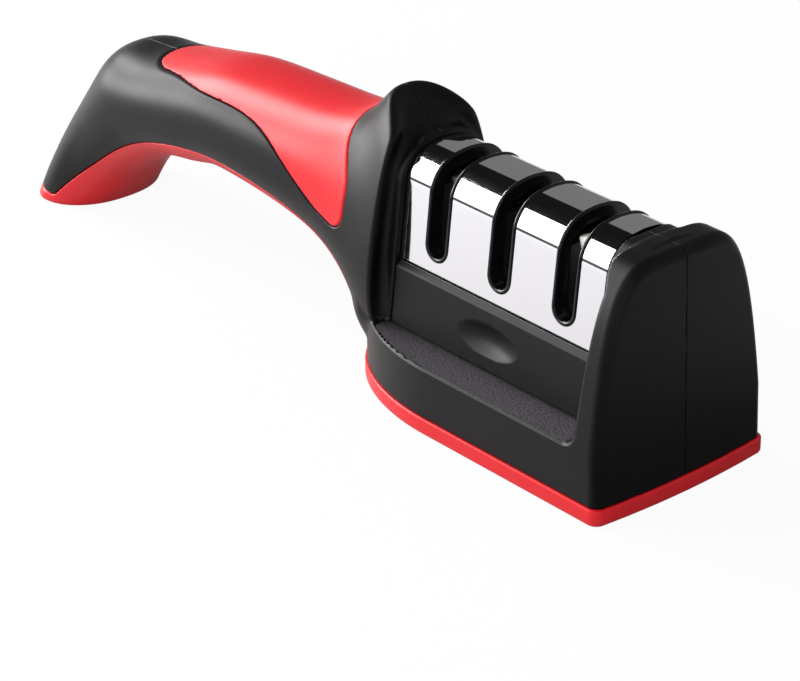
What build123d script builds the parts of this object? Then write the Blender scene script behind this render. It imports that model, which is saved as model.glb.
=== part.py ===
"""Hand-held pull-through knife sharpener with three stages and a lift-out sharpening head.

Millimetres, +Z up. The nose points to +X, the tail of the handle to -X, and the seam
between the two body shells is the plane Y = 0. Everything is drawn with X = 0 at the nose
and the sole on Z = 0, and is centred along X when it is written out.
"""

from build123d import *
from math import cos, pi, radians, sin, tan
import os

# ---------------------------------------------------------------- driving dimensions
# Sharpening head: the lift-out block with three slots.
slot_pitch = 18.7
slot_end_margin = 10.25
slot_half_width = 3.5
slot_lip = 1.05
slot_floor_margin = 2.3
head_gap = 0.35
head_draft = 5.86
cover_height = 23.6
cover_half_width_top = 9.5
cover_shoulder_radius = 5.6
cover_sheet = 0.7
cover_clearance = 0.1
liner_stand = 0.7
liner_clearance = 0.05
block_height = 14.0
block_stand = 1.6
block_bevel = 0.9
block_groove = 0.9
housing_wall = 1.9
housing_inner_half_width = 9.1
plug_half_width = 11.6
plug_depth = 9.4
bottom_plate_thickness = 2.4
shelf_height = 12.0
shelf_thickness = 2.0
shelf_reach = 4.5
dimple_length = 18.0
dimple_height = 7.0
dimple_depth = 1.3

# Sharpening elements and the blocks that hold them.
element_angle = 18.0
element_cross_above_slot = 8.7
element_length = 22.0
element_share_above = 0.36
rod_diameter = 3.0
rod_offset = 3.2
blade_width = 5.0
blade_thickness = 1.6
blade_offset = 1.2
element_clearance = 0.06
holder_half_length = 8.1
holder_half_width = 7.1
holder_height = 24.2
holder_channel_half_width = 2.7

# Base and sole, seen from above: a bowed front, straight sides and a half-ellipse behind.
sole_width = 47.0
base_taper_lead = 23.5
base_taper_length = 36.0
front_bow = 1.3
front_corner_radius = 2.2
sole_height = 3.7
sole_overhang = 0.45
sole_floor = 1.5
sole_rim = 3.2
ledge_height = 15.0
lip_width = 1.5
flange_thickness = 1.6
well_wall = 1.6
well_floor = 1.2
wall = 2.2
base_plate_thickness = 2.1
plate_clearance = 0.2

# Nose: the arched end wall in front of the head.
nose_above_cover = 0.35
nose_side = [(21.1, 31.0), (18.2, 42.6), (13.4, 50.0)]
nose_draft = 4.25
nose_edge_radius = 2.4
nose_thickness = 7.0
nose_collar_depth = 5.05
nose_lip_drop = 7.2
collar_margin = 1.5

# Fin: the tall guard behind the head.
fin_collar_depth = 2.85
fin_lean_height = 50.0
fin_lean = 8.5
opening_corner_radius = 3.0

# Handle stations from the fin to the tail: crest behind the fin's face, crest height,
# underside behind the fin's face, underside height, half width, narrowing of the top half.
handle_power = 2.35
stations = [
    (-5.5, 64.0, -5.5, 5.0, 17.6, 0.20),
    (2.5, 63.4, 2.5, 5.0, 16.8, 0.20),
    (9.0, 60.4, 8.5, 6.0, 16.0, 0.17),
    (15.0, 54.6, 14.5, 14.0, 15.6, 0.10),
    (22.5, 52.2, 22.5, 20.0, 15.4, 0.06),
    (36.5, 50.9, 36.5, 23.6, 15.2, 0.04),
    (54.5, 49.7, 54.5, 25.4, 15.0, 0.02),
    (73.5, 47.9, 71.5, 25.0, 14.8, 0.0),
    (89.5, 45.4, 82.5, 21.4, 14.6, 0.0),
    (100.5, 42.3, 91.0, 16.4, 14.4, 0.0),
    (109.8, 34.6, 98.0, 10.4, 14.2, 0.0),
    (118.0, 22.0, 103.5, 4.6, 14.2, 0.0),
    (125.2, 10.6, 108.0, -0.4, 14.2, 0.0),
    (131.5, 0.0, 112.5, -6.0, 14.0, 0.0),
]

# Soft grips, let into the shells.
grip_skin = 1.6
saddle_front = 10.0
saddle_tip = (14.6, 31.2)
saddle_side = [(20.4, 33.0), (27.0, 36.6), (33.5, 40.6), (38.5, 43.2), (46.0, 45.0), (70.0, 44.6)]
saddle_rear = (90.0, 48.0)
under_grip_front = 7.5
under_grip_side = [
    (8.9, 13.5), (10.6, 18.8), (14.3, 22.6), (20.5, 25.4), (33.5, 29.0), (54.5, 31.2), (73.5, 29.4),
    (92.5, 22.3), (104.5, 13.8), (113.5, 6.2),
]
under_grip_tip = (117.3, 2.4)
under_grip_rear = (140.0, 5.6)

# Fasteners: self-tapping screws, and the bosses they bite into.
screw_shank = 2.6
screw_head = 5.0
screw_head_height = 1.4
screw_clearance = 0.05
boss_diameter = 6.4
base_screw_length = 9.0
head_screw_length = 9.0
handle_screw_length = 14.0
blade_screw_length = 5.0
handle_screw_places = [(21.5, 41.5, 9.5), (107.5, 8.2, 6.2)]

# ---------------------------------------------------------------- derived places
head_length = 2 * (slot_pitch + slot_end_margin)
head_front = nose_thickness + nose_collar_depth + head_gap
head_rear = head_front + head_length
head_middle = head_front + head_length / 2
slot_places = [-(head_middle + k * slot_pitch) for k in (1, 0, -1)]
fin_collar_front = head_rear + head_gap
fin_front = fin_collar_front + fin_collar_depth
sole_half = sole_width / 2
base_straight = fin_front - base_taper_lead

block_bottom = ledge_height + head_gap
block_top = block_bottom + block_height
cover_bottom = block_top - block_groove
cover_top = cover_bottom + cover_height
slot_bottom = block_top + slot_floor_margin
plug_bottom = block_bottom - plug_depth
housing_bottom = plug_bottom + bottom_plate_thickness
shelf_top = housing_bottom + shelf_height + shelf_thickness
element_cross = slot_bottom + element_cross_above_slot
nose_crown = cover_top + nose_above_cover
well_half_width = plug_half_width + head_gap
well_bottom = plug_bottom - head_gap
flange_bottom = ledge_height - flange_thickness
FAR = 200.0


# ---------------------------------------------------------------- drawing helpers
def side_prism(edges):
    """Extrude a closed outline of the XZ plane far to both sides of Y = 0."""
    return extrude(Plane.XZ * make_face(edges), FAR / 2, both=True)


def along_x(face, rear, front):
    """Extrude a YZ face from X = -rear to X = -front."""
    return extrude(Plane.YZ.offset(-rear) * face, rear - front)


def block(x_rear, x_front, half_width, low, high):
    """Rectangular block between two places behind the nose, symmetrical about Y = 0."""
    size = (x_rear - x_front, 2 * half_width, high - low)
    return Pos(-(x_rear + x_front) / 2, 0, (low + high) / 2) * Box(*size)


def upright_cylinder(x, y, low, high, diameter):
    """Vertical cylinder between two heights."""
    return Pos(x, y, (low + high) / 2) * Cylinder(diameter / 2, high - low)


def cross_cylinder(x, z, y_low, y_high, diameter):
    """Cylinder that lies along Y between two places."""
    turn = Rot(90, 0, 0)
    return Pos(x, (y_low + y_high) / 2, z) * turn * Cylinder(diameter / 2, y_high - y_low)


def left_half(shape):
    """The half on the -Y side of the seam."""
    return shape & (Pos(0, -FAR / 2, 0) * Box(3 * FAR, FAR, 3 * FAR))


def right_half(shape):
    """The half on the +Y side of the seam."""
    return shape & (Pos(0, FAR / 2, 0) * Box(3 * FAR, FAR, 3 * FAR))


def screw(shank_length):
    """Pan-head screw along +Z, with the underside of its head at Z = 0."""
    shank = Pos(0, 0, shank_length / 2) * Cylinder(screw_shank / 2, shank_length)
    head = Pos(0, 0, -screw_head_height / 2) * Cylinder(screw_head / 2, screw_head_height)
    head = chamfer(head.edges().group_by(Axis.Z)[0], screw_head_height / 4)
    recess = Pos(0, 0, -screw_head_height + 0.35) * Box(2.6, 0.6, 0.7)
    recess += Pos(0, 0, -screw_head_height + 0.35) * Box(0.6, 2.6, 0.7)
    return shank + head - recess


def screw_hole(shank_length, head_room):
    """Room for such a screw, with its head sunk in a pocket that is open below."""
    shank = Pos(0, 0, shank_length / 2 + 0.2) * Cylinder(
        screw_shank / 2 + screw_clearance, shank_length + 0.4
    )
    head = Pos(0, 0, -head_room / 2) * Cylinder(screw_head / 2 + 2 * screw_clearance, head_room)
    return shank + head


# ---------------------------------------------------------------- outlines
def plan_outline(inset=0.0):
    """Outline of the base from above, moved inwards by inset."""
    half = sole_half - inset
    front = -inset
    start = -base_straight
    edges = [
        ThreePointArc((front, -half), (front + front_bow, 0), (front, half)),
        Line((front, half), (start, half)),
        EllipticalCenterArc((start, 0), base_taper_length - inset, half, start_angle=90, arc_size=180),
        Line((start, -half), (front, -half)),
    ]
    face = make_face(Curve() + edges)
    corners = face.vertices().group_by(Axis.X)[-1]
    return fillet(corners, max(front_corner_radius - 0.4 * inset, 0.6))


def base_prism(inset, low, high):
    """Upright block with the base's outline between two heights."""
    return extrude(Pos(0, 0, low) * plan_outline(inset), high - low)


def arch_face():
    """Cross-section of the nose: upright below the ledge, then leaning in to a round crown."""
    side = [(sole_half, ledge_height), *nose_side]
    other = [(-y, z) for y, z in reversed(side)]
    edges = [
        Line((sole_half, sole_height), side[0]),
        Spline(*side, (0, nose_crown), *other, tangents=[(0, 1), (0, -1)]),
        Line(other[-1], (-sole_half, sole_height)),
        Line((-sole_half, sole_height), (sole_half, sole_height)),
    ]
    return make_face(Curve() + edges)


def head_half_width(height, grow=0.0):
    """Half width of the head's drafted sides at a height."""
    return cover_half_width_top + (cover_top - height) * tan(radians(head_draft)) + grow


def head_face(grow, low):
    """Cross-section of the head, moved outwards by grow, from a height up to its top."""
    high = cover_top + grow
    corners = [
        (-head_half_width(low, grow), low),
        (head_half_width(low, grow), low),
        (head_half_width(high, grow), high),
        (-head_half_width(high, grow), high),
    ]
    face = make_face(Polyline(*corners, close=True))
    return fillet(face.vertices().group_by(Axis.Y)[-1], cover_shoulder_radius + grow)


def slot_prism(place, shrink=0.0):
    """U-shaped slot across the head, open at the top."""
    half = slot_half_width - shrink
    centre_z = slot_bottom + slot_half_width
    top = cover_top + 4 * liner_stand
    edges = [
        Line((place - half, top), (place - half, centre_z)),
        ThreePointArc((place - half, centre_z), (place, centre_z - half), (place + half, centre_z)),
        Line((place + half, centre_z), (place + half, top)),
        Line((place + half, top), (place - half, top)),
    ]
    return side_prism(Curve() + edges)


def behind_fin(points):
    """Places given behind the fin's face, as points of the XZ plane."""
    return [(-(fin_front + x), z) for x, z in points]


# ---------------------------------------------------------------- outer form of the body
def handle_section(station, inset):
    """One closed cross-section of the handle: a rounded oval that may be narrower above."""
    crest_x, crest_z, under_x, under_z, half_width, narrowing = station
    top = Vector(-(fin_front + crest_x), 0, crest_z)
    bottom = Vector(-(fin_front + under_x), 0, under_z)
    centre = (top + bottom) * 0.5
    upright = (top - bottom).normalized()
    half_height = (top - bottom).length / 2 - inset
    count = 20
    points = []
    for k in range(count):
        turn = 2 * pi * k / count
        side = 1 if cos(turn) > 0 else -1
        rise = 1 if sin(turn) > 0 else -1
        across = side * (half_width - inset) * abs(cos(turn)) ** (2 / handle_power)
        up = rise * half_height * abs(sin(turn)) ** (2 / handle_power)
        points.append(centre + upright * up + Vector(0, across * (1 - narrowing * sin(turn)), 0))
    return Wire([Edge.make_spline(points, periodic=True)])


def handle_solid(inset=0.0):
    """Smooth solid through all stations, cut off level above the floor by inset."""
    sections = [handle_section(station, inset) for station in stations]
    return Solid.make_loft(sections) & (Pos(0, 0, inset + FAR) * Box(4 * FAR, FAR, 2 * FAR))


def rear_form(inset=0.0):
    """Base, neck and handle without the nose, moved inwards by inset."""
    return base_prism(inset, sole_height, ledge_height) + handle_solid(inset)


def pocket_cut():
    """Side view of the opening between the nose and the fin, across the whole width."""
    edges = Polyline(
        (-nose_thickness, ledge_height),
        (-nose_thickness - 1.2, nose_crown - nose_lip_drop),
        (-nose_thickness - nose_collar_depth + 0.2, nose_crown - 1.2),
        (-nose_thickness - nose_collar_depth, FAR / 2),
        (-fin_front - fin_lean * 2.5, FAR / 2),
        (-fin_front - fin_lean, nose_crown + 8.3),
        (-fin_front, fin_lean_height),
        (-fin_front, ledge_height),
        close=True,
    )
    face = make_face(edges)
    low = face.vertices().group_by(Axis.Y)[0]
    face = fillet(low, opening_corner_radius)
    lean = face.vertices().sort_by_distance((-fin_front, fin_lean_height))[0]
    face = fillet([lean], fin_lean)
    return extrude(Plane.XZ * face, FAR / 2, both=True)


def nose_form():
    """Arched end wall with a bowed, leaning front and rounded edges."""
    rear = nose_thickness + nose_collar_depth
    wide = sole_half + nose_edge_radius
    edges = [
        ThreePointArc((0, -wide), (front_bow, 0), (0, wide)),
        Line((0, wide), (-FAR, wide)),
        Line((-FAR, wide), (-FAR, -wide)),
        Line((-FAR, -wide), (0, -wide)),
    ]
    front = extrude(Pos(0, 0, sole_height) * make_face(Curve() + edges), nose_crown, taper=nose_draft)
    form = along_x(arch_face(), rear, -2 * front_bow) & front
    rounded = [e for e in form.edges() if e.center().X > -0.5 * rear and e.center().Z > sole_height + 1]
    return fillet(rounded, nose_edge_radius)


def collars():
    """Arched collars that frame both ends of the head."""
    face = head_face(collar_margin, flange_bottom)
    nose_collar = along_x(face, nose_thickness + nose_collar_depth, nose_thickness - 0.5)
    nose_collar &= along_x(arch_face(), FAR, -FAR)
    fin_collar = along_x(face, fin_front + 0.5, fin_collar_front)
    return nose_collar + fin_collar


def outer_form():
    """Whole outside of the body, without the head's pocket below the ledge."""
    base = base_prism(0.0, sole_height, ledge_height) & block(FAR, nose_thickness, FAR / 2, 0, FAR)
    return (nose_form() + base + handle_solid()) - pocket_cut() + collars()


# ---------------------------------------------------------------- soft grips
def saddle_zone():
    """Side view of the soft saddle on top of the handle."""
    front_x, tip = -(fin_front + saddle_front), behind_fin([saddle_tip])[0]
    rear = behind_fin([saddle_rear])[0]
    curve = Spline(tip, *behind_fin(saddle_side), rear, tangents=[(-1, 0.2), (-1, 0.35)])
    edges = [
        Line((front_x, FAR / 2), (front_x, tip[1] + 2.5)),
        Line((front_x, tip[1] + 2.5), tip),
        curve,
        Line(rear, (rear[0], FAR / 2)),
        Line((rear[0], FAR / 2), (front_x, FAR / 2)),
    ]
    return side_prism(Curve() + edges)


def under_grip_zone():
    """Side view of the soft skin under the handle, down the back of the base and the tail."""
    front_x = -(fin_front + under_grip_front)
    tip = behind_fin([under_grip_tip])[0]
    rear = behind_fin([under_grip_rear])[0]
    curve = Spline((front_x, sole_height), *behind_fin(under_grip_side), tip)
    edges = [
        curve,
        Line(tip, rear),
        Line(rear, (rear[0], -FAR / 2)),
        Line((rear[0], -FAR / 2), (front_x, -FAR / 2)),
        Line((front_x, -FAR / 2), (front_x, sole_height)),
    ]
    return side_prism(Curve() + edges)


# ---------------------------------------------------------------- body pieces
def base_screw_places():
    """Places of the four screws that hold the base plate to the shells."""
    front_x = -nose_thickness + 0.4
    rear_x = -(fin_front + 2.4)
    return [(front_x, 14.5), (front_x, -14.5), (rear_x, 8.5), (rear_x, -8.5)]


def body_shells():
    """Hollow shell of the body before it is split at the seam."""
    deep = wall + grip_skin
    saddle = saddle_zone()
    under = under_grip_zone()
    skin_core = rear_form(grip_skin)
    form = outer_form()
    form = form - ((rear_form() - skin_core) & saddle) - ((rear_form() - skin_core) & under)
    room = base_prism(wall, sole_height, flange_bottom) & block(
        fin_front - 1.0, -FAR, FAR / 2, sole_height, flange_bottom
    )
    rear_room = base_prism(deep, sole_height, flange_bottom)
    neck_start = fin_front + fin_lean + 2 * wall
    neck_room = handle_solid(deep) & block(2 * FAR, neck_start, FAR / 2, sole_height, FAR)
    nose_face = head_face(-cover_sheet, sole_height)
    nose_room = along_x(nose_face, head_front - wall, nose_thickness - 0.6)
    nose_room &= block(FAR, -FAR, FAR / 2, sole_height, nose_crown - 2 * wall)
    form = form - room - rear_room - neck_room - nose_room
    plate_top = sole_floor + base_plate_thickness + 0.05
    for x, y in base_screw_places():
        boss = upright_cylinder(x, y, plate_top, flange_bottom + 4.0, boss_diameter)
        form += boss & (nose_form() + rear_form(grip_skin + 0.01))
    for x, y, z in handle_screw_seats():
        form += cross_cylinder(x, z, -FAR / 8, FAR / 8, boss_diameter) & handle_solid(grip_skin + 0.01)
    flange_room = base_prism(lip_width, flange_bottom, ledge_height) & block(
        fin_front, nose_thickness, FAR / 2, flange_bottom, ledge_height
    )
    well_side = plug_half_width + 2 * well_wall
    well_ends = (fin_collar_front, head_front - head_gap)
    deep_ends = (well_ends[0] + 2 * well_wall, well_ends[1] - 2 * well_wall)
    well_room = block(*well_ends, well_side, sole_height, ledge_height)
    well_room += block(*deep_ends, well_side, sole_height, flange_bottom)
    form = form - flange_room - well_room
    form += collars() - block(*well_ends, well_side, sole_height, ledge_height)
    for x, y in base_screw_places():
        form -= Pos(x, y, plate_top) * screw_hole(base_screw_length, 0.4)
    for place in handle_screws_placed():
        form -= place * screw_hole(handle_screw_length, 20.0)
    return form


def handle_screw_seats():
    """Places of the handle screws: along X, across to the underside of the head, and height."""
    return [(-(fin_front + x), y, z) for x, z, y in handle_screw_places]


def handle_screws_placed():
    """Locations of the screws across the handle, heads towards +Y under the grips."""
    return [Pos(x, y, z) * Rot(90, 0, 0) for x, y, z in handle_screw_seats()]


def sole():
    """Soft non-slip sole: a slab with a shallow tub for the base plate."""
    outer = base_prism(-sole_overhang, 0, sole_height)
    outer = fillet(outer.edges().group_by(Axis.Z)[0], 0.8)
    tub = base_prism(sole_rim, sole_floor, sole_height)
    return outer - tub


def base_plate():
    """Stiff plate inside the sole, with sunk holes for its screws."""
    plate = base_prism(sole_rim + plate_clearance, sole_floor, sole_floor + base_plate_thickness)
    seat = sole_floor + screw_head_height + 0.1
    for x, y in base_screw_places():
        plate -= Pos(x, y, seat) * screw_hole(base_screw_length, screw_head_height + 0.2)
    return plate


def base_screws():
    """Four screws from the base plate up into the shells."""
    seat = sole_floor + screw_head_height + 0.1
    return [Pos(x, y, seat) * screw(base_screw_length) for x, y in base_screw_places()]


def handle_screws():
    """Screws across the handle that draw the shells together."""
    return [place * screw(handle_screw_length) for place in handle_screws_placed()]


def pocket_tray():
    """Textured tray between the shells: a ledge round the well that takes the head's plug."""
    gap = 0.05
    flange = base_prism(lip_width + gap, flange_bottom + gap, ledge_height) & block(
        fin_front - gap, nose_thickness + gap, FAR / 2, 0, FAR
    )
    ends = (fin_collar_front + well_wall, head_front - head_gap - well_wall)
    outer_half = well_half_width + well_wall
    well = block(*ends, outer_half, well_bottom - well_floor, ledge_height)
    hole = block(fin_collar_front, head_front - head_gap, well_half_width, well_bottom, FAR)
    collar_face = head_face(collar_margin + gap, flange_bottom - gap)
    low_collars = along_x(collar_face, nose_thickness + nose_collar_depth + gap, 0)
    low_collars += along_x(collar_face, fin_front + 1, fin_collar_front - gap)
    return flange + well - hole - low_collars


# ---------------------------------------------------------------- head pieces
def head_cover():
    """Polished sheet folded over the head, with three slots cut through it."""
    sheet = along_x(head_face(0.0, cover_bottom), head_rear, head_front)
    sheet -= along_x(head_face(-cover_sheet, cover_bottom - 1), head_rear + 1, head_front - 1)
    for place in slot_places:
        sheet -= slot_prism(place)
    return sheet


def housing():
    """Moulded body of the head before it is split: plug, gripping block and upper walls."""
    inner = -(cover_sheet + cover_clearance)
    upper = along_x(head_face(inner, block_bottom), head_rear, head_front)
    side = make_face(
        Polyline(
            (head_half_width(block_bottom, block_stand), block_bottom),
            (head_half_width(block_top, block_stand), block_top),
            (-head_half_width(block_top, block_stand), block_top),
            (-head_half_width(block_bottom, block_stand), block_bottom),
            close=True,
        )
    )
    side = chamfer(side.vertices().group_by(Axis.Y)[-1], block_bevel * 0.6)
    grip_block = along_x(side, head_rear, head_front)
    groove = along_x(head_face(block_groove, block_top - block_groove - 0.1), head_rear + 1, head_front - 1)
    groove -= along_x(head_face(inner, block_bottom), head_rear + 2, head_front - 2)
    plug = block(head_rear, head_front, plug_half_width, housing_bottom, block_bottom)
    form = grip_block - groove + upper + plug
    room_ends = (head_rear - housing_wall, head_front + housing_wall)
    room = along_x(head_face(inner - housing_wall, housing_bottom - 1), *room_ends)
    room &= block(FAR, -FAR, housing_inner_half_width, housing_bottom, FAR)
    form -= room
    shelf_half = housing_inner_half_width - shelf_reach / 2 + 0.1
    for side_sign in (1, -1):
        shelf = Pos(-head_middle, side_sign * shelf_half, shelf_top - shelf_thickness / 2)
        form += shelf * Box(room_ends[0] - room_ends[1] + 0.2, shelf_reach + 0.2, shelf_thickness)
    for x, y in head_screw_places():
        form += upright_cylinder(x, y, housing_bottom, shelf_top - 0.5, boss_diameter)
    for place in slot_places:
        form -= slot_prism(place)
    for x, y in head_screw_places():
        form -= Pos(x, y, housing_bottom) * screw_hole(head_screw_length, 0.4)
    for dimple_side in (1, -1):
        form -= finger_dimple(dimple_side)
    return form


def finger_dimple(side_sign):
    """Shallow oval scoop in the gripping block, for lifting the head out."""
    height = block_bottom + block_height * 0.46
    face_y = head_half_width(height, block_stand)
    tilt = Rot(side_sign * head_draft, 0, 0)
    scoop = scale(Sphere(1), by=(dimple_length / 2, dimple_depth, dimple_height / 2))
    return Pos(-head_middle, side_sign * face_y, height) * tilt * scoop


def head_screw_places():
    """Places of the four screws that hold the head's bottom plate."""
    front_x = -(head_front + 5.2)
    rear_x = -(head_rear - 5.2)
    return [(x, y) for x in (front_x, rear_x) for y in (6.6, -6.6)]


def head_bottom_plate():
    """Plate that closes the head from below."""
    plate = block(head_rear, head_front, plug_half_width, plug_bottom, housing_bottom)
    plate = fillet(plate.edges().filter_by(Axis.Z), 0.8)
    seat = plug_bottom + screw_head_height + 0.2
    for x, y in head_screw_places():
        plate -= Pos(x, y, seat) * screw_hole(head_screw_length, screw_head_height + 1.0)
    return plate


def head_screws():
    """Four screws from the bottom plate up into the housing."""
    seat = plug_bottom + screw_head_height + 0.2
    return [Pos(x, y, seat) * screw(head_screw_length) for x, y in head_screw_places()]


def slot_liner(place):
    """Raised lip that lines one slot, over both sides and the top."""
    frame = slot_prism(place, liner_clearance) - slot_prism(place, slot_lip)
    outside = along_x(head_face(liner_stand, block_bottom), FAR, -FAR)
    depth = cover_sheet + cover_clearance + housing_wall
    inside = along_x(head_face(-depth, block_bottom - 1), 2 * FAR, -2 * FAR)
    return (frame & outside) - inside


def element_place(place, side_sign, offset):
    """Middle of a sharpening element that leans across its slot, and its lean."""
    lean = Rot(0, side_sign * element_angle, 0)
    return Pos(place, side_sign * offset, element_cross) * lean


def element_middle():
    """Distance from the crossing down to the middle of an element, along it."""
    return (0.5 - element_share_above) * element_length


def rod(place, side_sign, grow=0.0):
    """Round sharpening rod."""
    shape = Pos(0, 0, -element_middle()) * Cylinder(rod_diameter / 2 + grow, element_length + 2 * grow)
    return element_place(place, side_sign, rod_offset) * shape


def blade(place, side_sign, grow=0.0):
    """Flat carbide blade with a ground inner edge."""
    size = (blade_width + 2 * grow, blade_thickness + 2 * grow, element_length + 2 * grow)
    return element_place(place, side_sign, blade_offset) * Pos(0, 0, -element_middle()) * Box(*size)


def element_holder(place, element):
    """Block inside the head that carries the two crossing elements of one slot."""
    top = shelf_top + 0.1 + holder_height
    form = block(
        -place + holder_half_length, -place - holder_half_length, holder_half_width, shelf_top + 0.1, top
    )
    channel = slot_prism(place, slot_half_width - holder_channel_half_width)
    form -= channel
    for side_sign in (1, -1):
        form -= element(place, side_sign, element_clearance)
    return form


def blade_screw_places(place):
    """Locations of the two clamping screws of the carbide blades, from both sides."""
    drop = 10.0
    places = []
    for side_sign in (1, -1):
        x = place - side_sign * drop * tan(radians(element_angle))
        y = side_sign * (blade_offset + blade_thickness / 2 + blade_screw_length + 0.1)
        places.append(Pos(x, y, element_cross - drop) * Rot(side_sign * 90, 0, 0))
    return places


# ---------------------------------------------------------------- assembly
def build_nodes():
    """All nodes by name, each a list of solids, in the frame with the nose at X = 0."""
    shells = body_shells()
    head_housing = housing()
    skin = rear_form() - rear_form(grip_skin)
    front, middle, rear = slot_places[2], slot_places[1], slot_places[0]
    blade_holder = element_holder(middle, blade)
    for spot in blade_screw_places(middle):
        blade_holder -= spot * screw_hole(blade_screw_length, 20.0)
    return {
        "body_shell_left": [left_half(shells)],
        "body_shell_right": [right_half(shells)],
        "saddle_grip": [skin & saddle_zone()],
        "under_grip": [skin & under_grip_zone()],
        "non_slip_sole": [sole()],
        "base_plate": [base_plate()],
        "base_screws": base_screws(),
        "handle_screws": handle_screws(),
        "pocket_tray": [pocket_tray()],
        "head_cover": [head_cover()],
        "head_housing_left": [left_half(head_housing)],
        "head_housing_right": [right_half(head_housing)],
        "head_bottom_plate": [head_bottom_plate()],
        "head_screws": head_screws(),
        "slot_liner_rear": [slot_liner(rear)],
        "slot_liner_middle": [slot_liner(middle)],
        "slot_liner_front": [slot_liner(front)],
        "diamond_rod_left": [rod(rear, -1)],
        "diamond_rod_right": [rod(rear, 1)],
        "carbide_blade_left": [blade(middle, -1)],
        "carbide_blade_right": [blade(middle, 1)],
        "ceramic_rod_left": [rod(front, -1)],
        "ceramic_rod_right": [rod(front, 1)],
        "diamond_rod_holder": [element_holder(rear, rod)],
        "carbide_blade_holder": [blade_holder],
        "ceramic_rod_holder": [element_holder(front, rod)],
        "blade_screws": [spot * screw(blade_screw_length) for spot in blade_screw_places(middle)],
    }


def main():
    """Build every node, centre the part along X and write one STEP per node."""
    os.makedirs("parts", exist_ok=True)
    nodes = build_nodes()
    every_solid = [solid for shapes in nodes.values() for shape in shapes for solid in shape.solids()]
    everything = Compound(every_solid)
    centre = everything.bounding_box().center().X
    for name, shapes in nodes.items():
        solids = [solid for shape in shapes for solid in shape.solids()]
        moved = [Pos(-centre, 0, 0) * solid for solid in solids]
        export_step(moved[0] if len(moved) == 1 else Compound(moved), f"parts/{name}.step")
    print("shift", -centre)


if __name__ == "__main__":
    main()
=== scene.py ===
"""Looks of a hand-held three-stage knife sharpener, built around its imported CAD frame.

Lengths are millimetres and are turned to metres when a mesh is written. Shapes are worked out
in the datum of the nose: X = 0 at the foot of the nose, -X towards the tail of the handle,
Y = 0 on the seam of the two shells, Z = 0 on the table. The frame says where that datum lies.
"""

import logging
from dataclasses import dataclass
from enum import Enum
from typing import Callable, Iterable, Sequence

import bmesh
import bpy
import numpy as np
from mathutils import Matrix, Vector

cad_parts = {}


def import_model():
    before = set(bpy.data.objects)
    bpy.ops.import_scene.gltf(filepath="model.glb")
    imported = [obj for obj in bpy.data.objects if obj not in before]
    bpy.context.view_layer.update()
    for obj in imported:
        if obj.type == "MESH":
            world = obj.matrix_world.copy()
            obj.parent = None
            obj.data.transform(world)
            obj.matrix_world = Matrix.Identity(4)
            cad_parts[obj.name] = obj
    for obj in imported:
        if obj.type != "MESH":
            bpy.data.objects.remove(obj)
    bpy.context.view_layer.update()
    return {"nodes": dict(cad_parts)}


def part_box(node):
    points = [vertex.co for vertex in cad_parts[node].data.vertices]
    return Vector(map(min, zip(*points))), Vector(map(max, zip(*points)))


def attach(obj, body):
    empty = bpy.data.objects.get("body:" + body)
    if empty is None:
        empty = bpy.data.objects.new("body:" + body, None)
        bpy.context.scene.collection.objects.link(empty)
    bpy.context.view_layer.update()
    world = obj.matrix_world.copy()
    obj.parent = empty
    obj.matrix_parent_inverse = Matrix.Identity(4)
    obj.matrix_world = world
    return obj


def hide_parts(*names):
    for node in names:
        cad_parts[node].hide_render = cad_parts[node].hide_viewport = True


Array = np.ndarray
Socket = bpy.types.NodeSocket
Tree = bpy.types.NodeTree
MM = 0.001
FAR = 1e9
LEAST_RADIUS = 0.05
HEAD_GAP = 0.35  # between the head's ends and what stands before and behind it
FIN_COLLAR = 2.85  # from that gap back to the fin's face
COVER_RISE = 0.5  # how much higher than its solid the cover's crown is
TAIL_MARGIN = 1.0
log = logging.getLogger("sharpener")


# ---------------------------------------------------------------- rounding of distance fields
def round_cut(a: Array, b: Array, radius: float) -> Array:
    """Distance to what lies inside both forms, with the edge between them rounded.

    Args:
        a: Signed distance to the first form, negative inside.
        b: Signed distance to the second form.
        radius: Radius of the convex edge.

    Returns:
        The larger distance, and near the edge the distance to a circle of that radius.
    """
    corner = np.hypot(np.maximum(a + radius, 0.0), np.maximum(b + radius, 0.0))
    return np.minimum(-radius, np.maximum(a, b)) + corner


def round_join(a: Array, b: Array, radius: float | Array) -> Array:
    """Distance to what lies inside either form, with a fillet in the corner between them.

    Args:
        a: Signed distance to the first form, negative inside.
        b: Signed distance to the second form.
        radius: Radius of the concave fillet, which may change from place to place.

    Returns:
        The smaller distance, and near the corner the distance to a circle of that radius.
    """
    corner = np.hypot(np.maximum(radius - a, 0.0), np.maximum(radius - b, 0.0))
    return np.maximum(radius, np.minimum(a, b)) - corner


def ease(value: Array, low: float, high: float) -> Array:
    """Smooth step from 0 at low to 1 at high, as 3t^2 - 2t^3."""
    t = np.clip((value - low) / (high - low), 0.0, 1.0)
    return t * t * (3.0 - 2.0 * t)


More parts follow.
